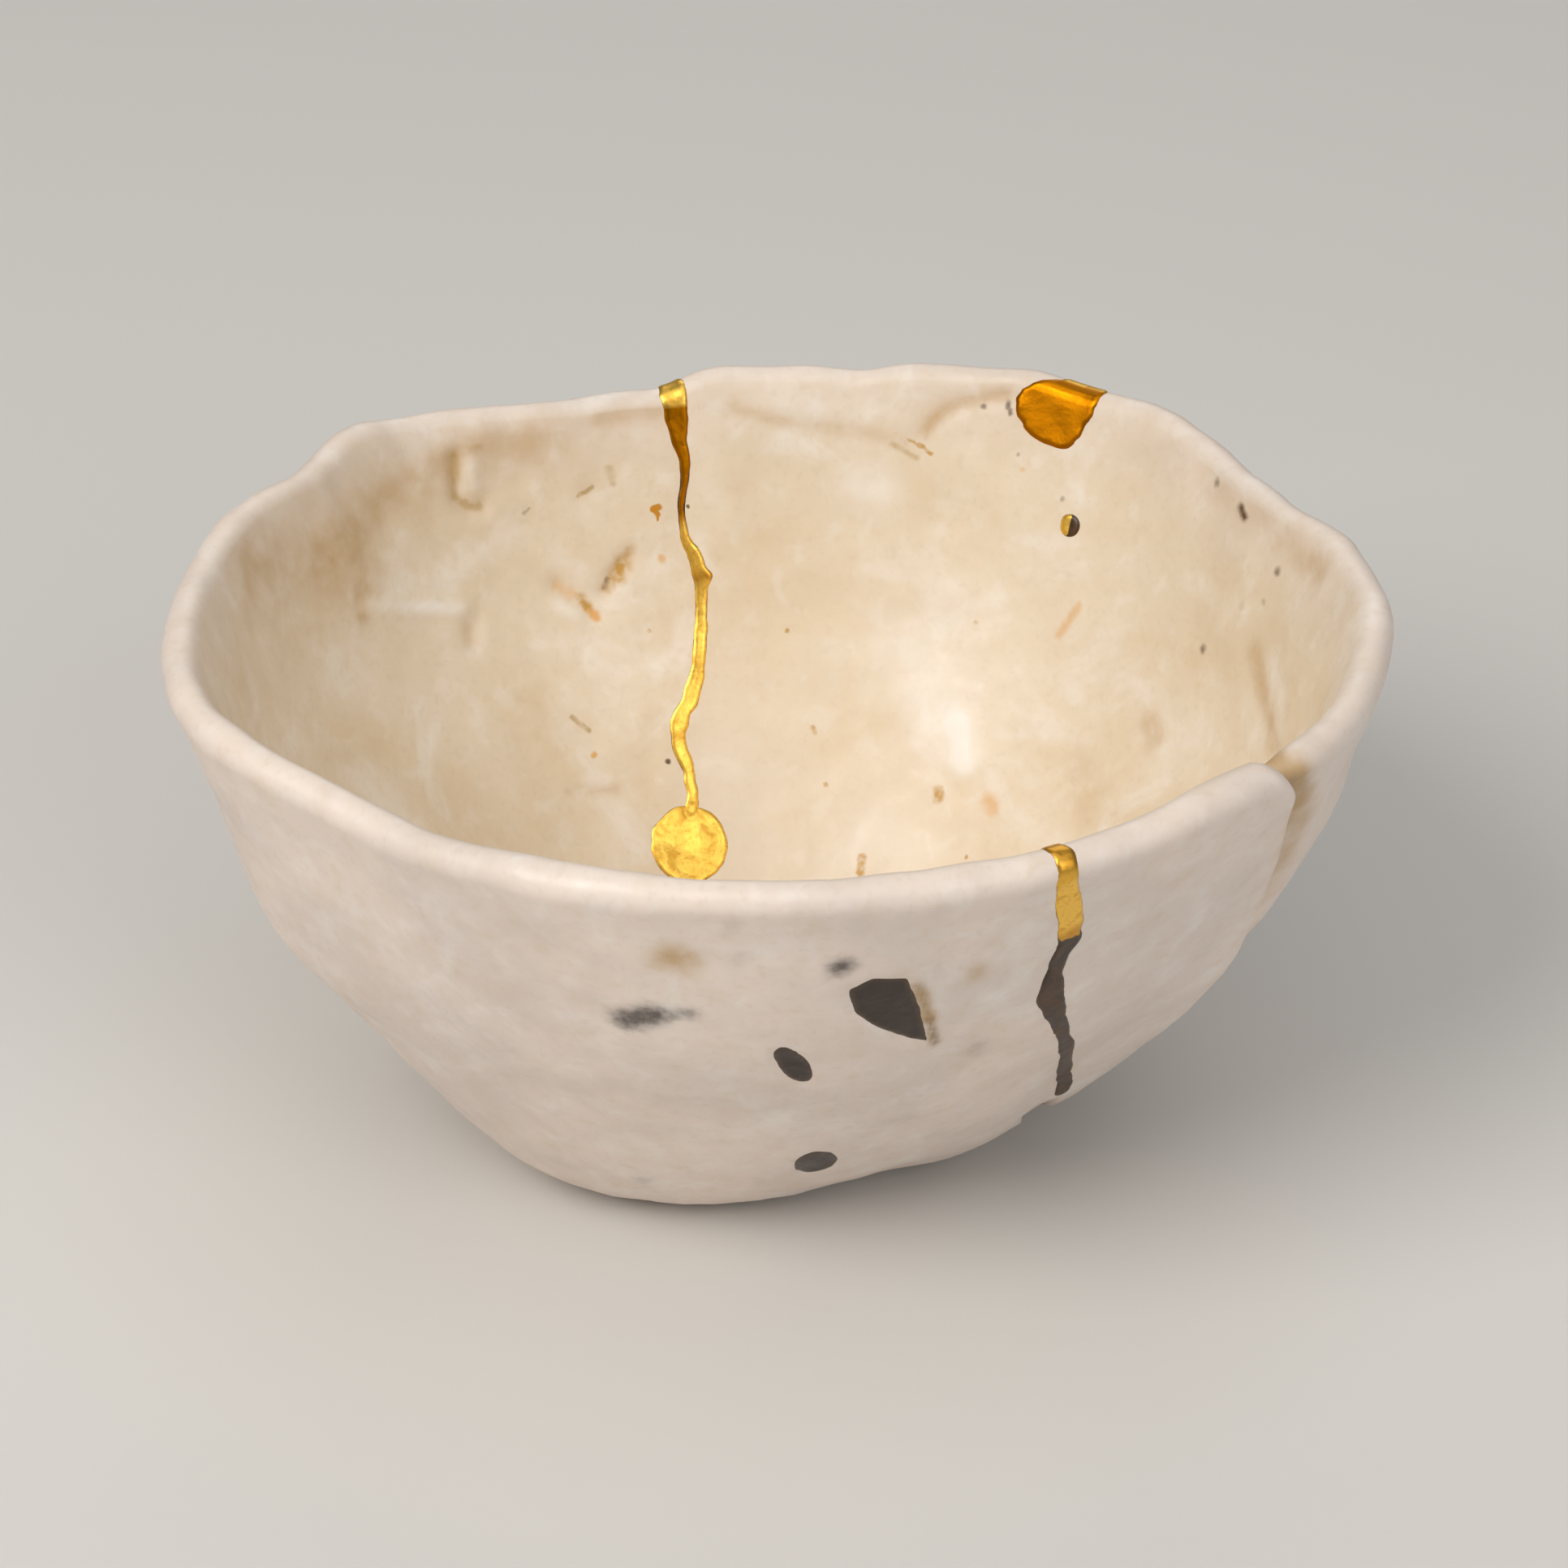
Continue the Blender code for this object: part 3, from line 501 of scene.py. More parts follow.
def shell_rows():
    """Rings of points from the middle of the foot up the outer face, over the lip and down to the floor."""
    columns = shell_columns()
    rows, inside, shade = [], [], []

    def add_row(points, share, step=0.0):
        rows.append(points)
        inside.append(np.full(len(columns), share))
        # Each row carries the painted shade of the groove by the lapped edge
        shade.append(lap_shade(columns, step))

    def pair(step):
        return shell_wall(columns, np.full(len(columns), step))

    centre = np.array(PLAN_SHIFT)
    foot = pair(0.0)[0]
    for k in range(1, FOOT_RINGS + 1):
        share = k / (FOOT_RINGS + 1)
        ring = centre + (foot - centre) * share
        ring[:, 2] = FOOT_HOLLOW * (1.0 - share**2)
        add_row(ring, 0.0)
    for step in np.linspace(0.0, 1.0, OUTER_ROWS):
        add_row(pair(step)[0], 0.0, step)
    rim, below = pair(1.0), pair(LIP_BELOW)
    for k in range(1, LIP_ROWS):
        add_row(lip_points(*rim, below, math.pi * k / LIP_ROWS), 0.5 * (k / LIP_ROWS) ** 2, 1.0)
    # Near the rim the inner rows carry the painted shade in the notch of the lapped edge
    for step in np.linspace(1.0, 0.0, INNER_ROWS):
        add_row(pair(step)[1], 0.5 + 0.5 * min(1.0, (1.0 - step) / 0.12), 1.0 - 6.0 * (1.0 - step))
    edge = rows[-1]
    for k in range(FLOOR_RINGS, 0, -1):
        share = k / (FLOOR_RINGS + 1)
        ring = centre + (edge - centre) * share
        ring[:, 2] = FLOOR + (edge[:, 2] - FLOOR) * share**3
        add_row(ring, 1.0)
    return held_in_box(np.array(rows)), np.array(inside), np.array(shade)


def quad_rows(rows, count, closed):
    """Faces between rows of points that lie one after the other, each row closed into a ring or open."""
    k = np.arange(count if closed else count - 1)
    low = (np.arange(rows - 1) * count)[:, None] + k
    low_next = (np.arange(rows - 1) * count)[:, None] + (k + 1) % count
    return np.stack((low, low_next, low_next + count, low + count), -1).reshape(-1, 4)


def plain_mesh(name, points, faces, numbers=()):
    """A mesh of points and faces with named numbers on its points."""
    mesh = bpy.data.meshes.new(name)
    mesh.from_pydata([tuple(p) for p in points.tolist()], [], faces)
    for title, values in dict(numbers).items():
        mesh.attributes.new(title, "FLOAT", "POINT").data.foreach_set("value", np.asarray(values, np.float32))
    mesh.update()
    return mesh


def line_distance(points, line):
    """Distance from each point to a line of points, and how far along the line it is nearest, 0 to 1."""
    nearest = np.full(len(points), 1.0e9)
    for a, b in zip(line, line[1:]):
        run = b - a
        f = np.clip((points - a) @ run / max(run @ run, 1.0e-12), 0.0, 1.0)
        nearest = np.minimum(nearest, np.linalg.norm(points - (a + f[:, None] * run), axis=1))
    return nearest


def wall_frame(place, inner):
    """A point of one face at azimuth and share of height, with the ways across, up and out of that face."""
    azimuth, share = place
    here = share_points([azimuth], [share], inner)[0]
    beside = share_points([azimuth + 1.0], [share], inner)[0] - share_points([azimuth - 1.0], [share], inner)[0]
    above, below = (share_points([azimuth], [share + step], inner)[0] for step in (0.02, -0.02))
    above = above - below
    out = np.cross(beside, above)
    out *= (-1.0 if inner else 1.0) / np.linalg.norm(out)
    up = above / np.linalg.norm(above)
    across = np.cross(up, out)
    return here, across / np.linalg.norm(across), up, out


def oval(size, turn=0.0, count=96):
    """Outline of an oval in its own plane."""
    angle = np.linspace(0.0, 2 * np.pi, count, endpoint=False)
    x, y = size[0] / 2 * np.cos(angle), size[1] / 2 * np.sin(angle)
    turn = math.radians(turn)
    return np.stack((x * math.cos(turn) - y * math.sin(turn), x * math.sin(turn) + y * math.cos(turn)), -1)


def corner_outline():
    """The corner pit's outline in the plane of the wall at its middle, and that plane."""
    azimuths, shares = zip(*CORNER_PIT)
    place = (float(np.mean(azimuths)), float(np.mean(shares)))
    here, across, up, out = wall_frame(place, False)
    away = share_points(azimuths, shares, False) - here
    return np.stack((away @ across, away @ up), -1), (here, across, up, out)


def pits():
    """Each pit's name, outline and plane."""
    corner, corner_plane = corner_outline()
    return (
        ("lacquer_pit_corner", corner, corner_plane),
        ("lacquer_pit_oval", oval(OVAL_PIT_SIZE, OVAL_PIT_TURN), wall_frame(OVAL_PIT_PLACE, False)),
        ("lacquer_pit_low", oval(LOW_PIT_SIZE, LOW_PIT_TURN), wall_frame(LOW_PIT_PLACE, False)),
    )


def depth_inside(points, outline, plane):
    """How far each point is inside an outline that lies in a plane of the wall. Outside it is negative."""
    here, across, up, out = plane
    away = points - here
    flat = np.stack((away @ across, away @ up), -1)
    edge = np.full(len(points), 1.0e9)
    crossings = np.zeros(len(points), int)
    for a, b in zip(outline, np.roll(outline, -1, axis=0)):
        run = b - a
        f = np.clip((flat - a) @ run / (run @ run), 0.0, 1.0)
        edge = np.minimum(edge, np.linalg.norm(flat - (a + f[:, None] * run), axis=1))
        spans = (a[1] > flat[:, 1]) != (b[1] > flat[:, 1])
        rise = run[1] if abs(run[1]) > 1.0e-12 else 1.0e-12
        crossings += spans & (flat[:, 0] < a[0] + (flat[:, 1] - a[1]) * run[0] / rise)
    inside = (crossings % 2 == 1) & (np.abs(away @ out) < PIT_REACH)
    return np.where(inside, edge, -edge - np.maximum(0.0, np.abs(away @ out) - PIT_REACH))


def bowl_mesh():
    """The whole bowl with its marks as numbers on its points."""
    rings, inside, stain = shell_rows()
    count = rings.shape[1]
    points = rings.reshape(-1, 3)
    faces = quad_rows(len(rings), count, True).tolist()
    first, last = len(points), len(points) + 1
    points = np.vstack((points, (*PLAN_SHIFT[:2], FOOT_HOLLOW), (*PLAN_SHIFT[:2], FLOOR)))
    inside = np.append(inside.ravel(), (0.0, 1.0))
    stain = np.append(stain.ravel(), (0.0, 0.0))
    top = first - count
    for k in range(count):
        faces.append(((k + 1) % count, k, first))
        faces.append((top + k, top + (k + 1) % count, last))

    # The groove's painted shade also greys the outer wall a little; the marks below add tan, painted highlight
    # and grey
    dent, dark = np.zeros(len(points)), 0.20 * stain * (inside < 0.45)
    for inner, marks in ((True, INNER_MARKS), (False, OUTER_MARKS)):
        here = (inside >= 0.5) == inner
        for line, half_width, depth, tan, black in marks:
            azimuths, heights = zip(*line)
            path = face_points(azimuths, np.array(heights) * MM, inner)
            weight = hill(line_distance(points, path) / (half_width * MM)) * here
            dent += depth * MM * weight
            stain += tan * weight
            dark = np.maximum(dark, black * weight)
    for _, outline, plane in pits():
        depth = depth_inside(points, outline, plane)
        dent += PIT_SINK * eased((depth + 0.7 * MM) / (1.2 * MM))
    path = share_points(*zip(*BREAK_CHIP_ENDS), False)
    bite = np.clip(1.0 - (line_distance(points, path) / (BREAK_CHIP_WIDTH / 2)) ** 2, 0.0, 1.0)
    raw = np.sqrt(bite) * (inside < 0.5)
    dent += BREAK_CHIP_DEPTH * raw

    low, high = (np.array(corner) for corner in CAD_BOX)
    room = np.minimum(points - low, high - points).min(axis=1)
    room = np.clip((room - 0.05 * MM) / (1.2 * MM), 0.0, 1.0)
    return plain_mesh("glazed_bowl", points, faces, {
        "dent": dent, "room": room, "inside": inside, "stain": stain, "dark": dark, "raw": raw,
    })


# ---- Patches of the mends: their points, faces and the numbers on their points ----


def strip(left, right, cells, numbers):
    """A strip between two edges of points, with cells that are smaller near both edges."""
    f = 0.5 - 0.5 * np.cos(np.linspace(0.0, np.pi, cells + 1))
    points = left[:, None, :] * (1 - f)[None, :, None] + right[:, None, :] * f[None, :, None]
    numbers = {title: np.repeat(values, cells + 1) for title, values in numbers.items()}
    return points.reshape(-1, 3), quad_rows(len(left), cells + 1, False).tolist(), numbers


def disc(outline, plane, rings, seed, gilding, rough=0.05 * MM):
    """A patch with a closed outline, laid in a plane of the wall. gilding takes how far right a point is."""
    here, across, up, _ = plane
    rng = np.random.default_rng(seed)
    closed = np.vstack((outline, outline[:1]))
    at = np.append(0.0, np.cumsum(np.linalg.norm(np.diff(closed, axis=0), axis=1)))
    count = max(24, int(at[-1] / EDGE_PITCH))
    wanted = np.linspace(0.0, at[-1], count, endpoint=False)
    edge = np.stack([np.interp(wanted, at, closed[:, k]) for k in (0, 1)], -1)
    knots = np.arange(0, count, 3)
    steps = np.interp(np.arange(count), knots, rng.normal(0.0, 1.0, len(knots)))
    steps[-2:] = steps[0]
    edge = edge + edge / np.linalg.norm(edge, axis=1, keepdims=True) * (steps * rough)[:, None]
    edge = 0.25 * np.roll(edge, 1, axis=0) + 0.5 * edge + 0.25 * np.roll(edge, -1, axis=0)
    flat = np.concatenate([edge * share for share in np.sin(np.linspace(0.0, np.pi / 2, rings + 1))[1:]])
    points = np.vstack((here + flat[:, :1] * across + flat[:, 1:] * up, here))
    faces = quad_rows(rings, count, True).tolist()
    faces += [(len(flat), (k + 1) % count, k) for k in range(count)]
    return points, faces, {"gilding": gilding((points - here) @ across), "amber": np.zeros(len(points))}


def ragged(rng, length, pitch, height):
    """Uneven steps along an edge, smooth at a pitch."""
    knots = np.arange(0.0, length[-1] + 2 * pitch, pitch)
    return np.interp(length, knots, rng.normal(0.0, height, len(knots)))


def seam_rows(crack):
    """A crack's way from the lower end of its inner face over the rim and down the outer face."""
    rows = np.array(crack)
    down = 1.0 - rows[:, 1] + LIP_SHARE
    inner = np.stack((rows[:, 0], -down, rows[:, 2]), -1)[::-1]
    outer = np.stack((rows[:, 0], down, rows[:, 2]), -1)
    rows = np.vstack((inner[:1], inner, (rows[0, 0], 0.0, rows[0, 2]), outer, outer[-1:]))
    made = []
    for k in range(1, len(rows) - 2):
        made += [spline(*rows[k - 1 : k + 3], f) for f in np.arange(10) / 10]
    made = np.array(made + [rows[-1]])
    points = over_rim(made[:, 0], made[:, 1])
    at = np.append(0.0, np.cumsum(np.linalg.norm(np.diff(points, axis=0), axis=1)))
    even = np.arange(0.0, at[-1], EDGE_PITCH)
    return even, np.stack([np.interp(even, at, made[:, k]) for k in range(3)], -1)


def seam(crack, seed, gilding, amber, bulge):
    """A seam's strip. gilding and amber give the gold's share and its depth of colour along the way, the depth
    partly a painted darker reflection.
    """
    length, rows = seam_rows(crack)
    azimuth, way = rows[:, 0], rows[:, 1]
    rng = np.random.default_rng(seed)
    points = over_rim(azimuth, way)
    beside = over_rim(azimuth + 0.5, way) - over_rim(azimuth - 0.5, way)
    run = np.gradient(points, axis=0)
    run /= np.linalg.norm(run, axis=1, keepdims=True)
    side = beside - (beside * run).sum(axis=1, keepdims=True) * run
    side /= np.linalg.norm(side, axis=1, keepdims=True)
    to_end = np.minimum(length, length[-1] - length)
    taper = np.sqrt(np.clip(1.0 - (1.0 - np.clip(to_end / (1.2 * MM), 0.0, 1.0)) ** 2, 0.004, 1.0))
    edges = []
    for sign in (-1.0, 1.0):
        wide = CRACK_WIDTH * rows[:, 2] / 2
        wide = wide + ragged(rng, length, 1.3 * MM, 0.09 * MM) + ragged(rng, length, 0.55 * MM, 0.030 * MM)
        if sign < 0:
            bulge_way, reach, half_length = bulge
            wide += reach * MM * hill((way - bulge_way) / half_length)
        edges.append(points + side * sign * (np.maximum(wide, 0.25 * MM) * taper)[:, None])
    return strip(edges[1], edges[0], 12, {"gilding": gilding(way), "amber": amber(way)})


def chip(seed):
    """The rim chip's fill, from its tip on the inner face over the rim to its tip outside."""
    rng = np.random.default_rng(seed)
    way = np.linspace(CHIP_LEFT[0][0], CHIP_LEFT[-1][0], 90)
    length = np.linspace(0.0, 17 * MM, len(way))
    edges = []
    for side in (CHIP_LEFT, CHIP_RIGHT):
        azimuth = np.interp(way, *zip(*side))
        azimuth = azimuth + ragged(rng, length, 0.8 * MM, 0.12) + ragged(rng, length, 0.35 * MM, 0.05)
        edges.append(over_rim(azimuth, way))
    # The chip's inner side is drawn in the deeper gold, a painted darker reflection
    amber = 1.0 - eased((way + 0.018) / 0.014)
    return strip(*edges, 40, {"gilding": np.ones(len(way)), "amber": amber})


def joined(line, spot, middle, radius):
    """A seam and the spot at its end as one patch, with a number that marks where they run together."""
    faces = line[1] + [[len(line[0]) + k for k in face] for face in spot[1]]
    numbers = {title: np.append(values, spot[2][title]) for title, values in line[2].items()}
    to_line = np.array([np.linalg.norm(line[0] - point, axis=1).min() for point in spot[0]])
    to_middle = np.linalg.norm(line[0] - middle, axis=1)
    numbers["joint"] = np.append(to_middle < radius, to_line < 0.35 * MM).astype(float)
    return np.vstack((line[0], spot[0])), faces, numbers


# ---- Node trees ----

# The kinds of node that are used most. Inputs 6 and 7 of a mix in colour are its two colours
MATH, VECTOR_MATH, NOISE = "ShaderNodeMath", "ShaderNodeVectorMath", "ShaderNodeTexNoise"
RANGE, MIX, BUMP = "ShaderNodeMapRange", "ShaderNodeMix", "ShaderNodeBump"
NAMED_NUMBER, SHADED_NUMBER = "GeometryNodeInputNamedAttribute", "ShaderNodeAttribute"
SMOOTH, IN_COLOUR = {"interpolation_type": "SMOOTHSTEP"}, {"data_type": "RGBA"}


def linear(code):
    """An sRGB hex colour as linear red, green and blue."""
    parts = [int(code[k : k + 2], 16) / 255 for k in (0, 2, 4)]
    return tuple(part / 12.92 if part <= 0.04045 else ((part + 0.055) / 1.055) ** 2.4 for part in parts)


def fill(tree, made, inputs):
    """Sets inputs of a node to values, or links them to a socket or to the first output of a node."""
    for key, value in inputs.items() if isinstance(inputs, dict) else enumerate(inputs):
        socket = made.inputs[key]
        if isinstance(value, bpy.types.Node):
            value = next(output for output in value.outputs if output.enabled)
        if isinstance(value, bpy.types.NodeSocket):
            tree.links.new(value, socket)
        elif socket.type == "RGBA":
            socket.default_value = (*(linear(value) if isinstance(value, str) else value), 1.0)
        else:
            socket.default_value = value


def add_node(tree, kind, inputs=(), **settings):
    """A node with its settings, and its inputs in order, or by name or number in a dict."""
    made = tree.nodes.new(kind)
    for title, value in settings.items():
        setattr(made, title, value)
    fill(tree, made, inputs)
    return made


def new_tree(name, numbers, **others):
    """A geometry tree with its named inputs, the way to add its nodes, and what it is given."""
    tree = bpy.data.node_groups.new(name, "GeometryNodeTree")
    tree.interface.new_socket("Geometry", in_out="OUTPUT", socket_type="NodeSocketGeometry")
    for title, kind in {"Geometry": "Geometry", **dict.fromkeys(numbers, "Float"), **others}.items():
        tree.interface.new_socket(title, in_out="INPUT", socket_type=f"NodeSocket{kind}")
    return tree, partial(add_node, tree), tree.nodes.new("NodeGroupInput").outputs


def close_tree(tree, geometry, material):
    """Ends a geometry tree in smooth faces, real meshes and its material."""
    for kind, inputs in (
        ("GeometryNodeSetShadeSmooth", {}), ("GeometryNodeRealizeInstances", {}),
        ("GeometryNodeSetMaterial", {"Material": material}), ("NodeGroupOutput", {}),
    ):
        geometry = add_node(tree, kind, {"Geometry": geometry, **inputs})
    return tree


def hand_relief_tree():
    """Presses the marks into the clay and lets the palm's and the fingers' unevenness show."""
    parts = ("Palm", "Finger", "Grain")
    numbers = [f"{part} {what}" for part in parts for what in ("relief", "size")]
    tree, node, given = new_tree("hand relief", (*numbers, "Seed"), Material="Material")
    place = node("GeometryNodeInputPosition")
    total = 0.0
    for part in parts:
        scale = node(MATH, (1.0, given[f"{part} size"]), operation="DIVIDE")
        noise = node(NOISE, {
            "Vector": place, "W": given["Seed"], "Scale": scale, "Detail": 1.5,
        }, noise_dimensions="4D")
        middle = node(MATH, (noise, 0.5), operation="SUBTRACT")
        total = node(MATH, (middle, given[f"{part} relief"], total), operation="MULTIPLY_ADD")
    room, dent = (node(NAMED_NUMBER, {"Name": title}, data_type="FLOAT") for title in ("room", "dent"))
    held = node(MATH, (total, room), operation="MULTIPLY")
    pressed = node(MATH, (held, dent), operation="SUBTRACT")
    offset = node(VECTOR_MATH, {0: node("GeometryNodeInputNormal"), "Scale": pressed}, operation="SCALE")
    moved = node("GeometryNodeSetPosition", {"Geometry": given["Geometry"], "Offset": offset})
    return close_tree(tree, moved, given["Material"])


def laid_on_tree():
    """Lays a patch on the wall: round shoulders, a rippled top, and an underside that closes it below."""
    tree, node, given = new_tree("lacquer laid on the wall", (
        "Height", "Shoulder", "Sunk edge", "Ripple", "Ripple size", "Seed",
    ), Wall="Object", Material="Material")
    patch, sunk = given["Geometry"], given["Sunk edge"]
    wall_mesh = node("GeometryNodeObjectInfo", {"Object": given["Wall"]}).outputs["Geometry"]

    neighbours = node("GeometryNodeInputMeshEdgeNeighbors")
    border = node("FunctionNodeCompare", {2: neighbours, 3: 1}, data_type="INT", operation="EQUAL")
    joint, rim = (node(NAMED_NUMBER, {"Name": title}, data_type="FLOAT") for title in ("joint", "rim"))
    free = node("FunctionNodeCompare", (joint, 0.5), data_type="FLOAT", operation="LESS_THAN")
    shown = node("FunctionNodeBooleanMath", (border, free), operation="AND")
    stored = patch
    for title, chosen in (("edge", shown), ("rim", border)):
        outline = node("GeometryNodeMeshToCurve", {"Mesh": patch, "Selection": chosen})
        outline = node("GeometryNodeCurveToMesh", {"Curve": outline})
        near = node("GeometryNodeProximity", (outline,), target_element="EDGES").outputs["Distance"]
        stored = node("GeometryNodeStoreNamedAttribute", {
            "Geometry": stored, "Name": title, "Value": near,
        }, data_type="FLOAT", domain="POINT")

    # The top rises from the sunk edge over a round shoulder, and the underside sinks as far below
    share = node(MATH, (rim, given["Shoulder"]), operation="DIVIDE", use_clamp=True)
    rest = node(MATH, (1.0, share), operation="SUBTRACT")
    rest = node(MATH, (rest, 2.0), operation="POWER")
    lift = node(MATH, (1.0, rest), operation="SUBTRACT")
    full = node(MATH, (given["Height"], sunk), operation="ADD")
    place = node("GeometryNodeInputPosition")
    scale = node(MATH, (1.0, given["Ripple size"]), operation="DIVIDE")
    noise = node(NOISE, {
        "Vector": place, "W": given["Seed"], "Scale": scale, "Detail": 2.0,
    }, noise_dimensions="4D")
    ripple = node(MATH, (noise, 0.5), operation="SUBTRACT")
    for part in (given["Ripple"], share):
        ripple = node(MATH, (ripple, part), operation="MULTIPLY")
    for operation, part in (("MULTIPLY", full), ("SUBTRACT", sunk), ("ADD", ripple)):
        lift = node(MATH, (lift, part), operation=operation)
    under = node(MATH, (share, -2.0, -1.0), operation="MULTIPLY_ADD")
    under = node(MATH, (under, sunk), operation="MULTIPLY")

    on_wall = node("GeometryNodeProximity", (wall_mesh,), target_element="FACES").outputs["Position"]
    out = node("GeometryNodeSampleNearestSurface", {
        "Mesh": wall_mesh, "Value": node("GeometryNodeInputNormal"), "Sample Position": place,
    }, data_type="FLOAT_VECTOR")
    both = node("GeometryNodeJoinGeometry")
    for height, flipped in ((lift, False), (under, True)):
        away = node(VECTOR_MATH, {0: out, "Scale": height}, operation="SCALE")
        target = node(VECTOR_MATH, (on_wall, away), operation="ADD")
        side = node("GeometryNodeSetPosition", {"Geometry": stored, "Position": target})
        fill(tree, both, (node("GeometryNodeFlipFaces", (side,)) if flipped else side,))
    welded = node("GeometryNodeMergeByDistance", {"Geometry": both, "Distance": WELD})
    return close_tree(tree, welded, given["Material"])


def shaped(piece, tree, values):
    """Gives the piece the plain mesh that a tree makes of it, with the modifier gone."""
    modifier = piece.modifiers.new(tree.name, "NODES")
    modifier.node_group = tree
    for socket in tree.interface.items_tree:
        if socket.in_out == "INPUT" and socket.name in values:
            modifier[socket.identifier] = values[socket.name]
    depsgraph = bpy.context.evaluated_depsgraph_get()
    mesh = bpy.data.meshes.new_from_object(
        piece.evaluated_get(depsgraph), preserve_all_data_layers=True, depsgraph=depsgraph
    )
    piece.modifiers.remove(modifier)
    old, piece.data = piece.data, mesh
    bpy.data.meshes.remove(old)
    mesh.name = piece.name


# ---- Materials ----


def new_material(name):
    """A node material, the way to add its nodes, and Object coordinates."""
    made = bpy.data.materials.new(name)
    made.use_nodes = True
    node = partial(add_node, made.node_tree)
    return made, node, node("ShaderNodeTexCoord").outputs["Object"]


def finished(made, inputs):
    """The material, with inputs of its shader set or linked."""
    fill(made.node_tree, made.node_tree.nodes["Principled BSDF"], inputs)
    return made


def wash(node, colour, number, low, high, most, tone):
    """Lays a tone over a colour as a number goes from low to high, up to a share of it."""
    share = node(RANGE, (number, low, high, 0.0, most), **SMOOTH)
    return node(MIX, {0: share, 6: colour, 7: tone}, **IN_COLOUR)


def mark_group():
    """A group that adds one stroke of colour, from a point along a run, to those before it."""
    tree = bpy.data.node_groups.new("stroke of colour", "ShaderNodeTree")
    for title, kind in (
        ("Before", "Float"), ("Place", "Vector"), ("Start", "Vector"), ("Run", "Vector"),
        ("Run over its square", "Vector"), ("Outer", "Float"), ("Inner", "Float"), ("Strength", "Float"),
    ):
        tree.interface.new_socket(title, in_out="INPUT", socket_type=f"NodeSocket{kind}")
    tree.interface.new_socket("Amount", in_out="OUTPUT", socket_type="NodeSocketFloat")
    node, given = partial(add_node, tree), tree.nodes.new("NodeGroupInput").outputs
    away = node(VECTOR_MATH, (given["Place"], given["Start"]), operation="SUBTRACT")
    along = node(VECTOR_MATH, (away, given["Run over its square"]), operation="DOT_PRODUCT")
    share = node(MATH, (along, 1.0), operation="MULTIPLY", use_clamp=True)
    foot = node(VECTOR_MATH, {0: given["Run"], "Scale": share}, operation="SCALE")
    distance = node(VECTOR_MATH, (away, foot), operation="DISTANCE")
    amount = node(RANGE, (distance, given["Outer"], given["Inner"]), **SMOOTH)
    amount = node(MATH, (amount, given["Strength"]), operation="MULTIPLY")
    node("NodeGroupOutput", (node(MATH, (amount, given["Before"]), operation="MAXIMUM"),))
    return tree


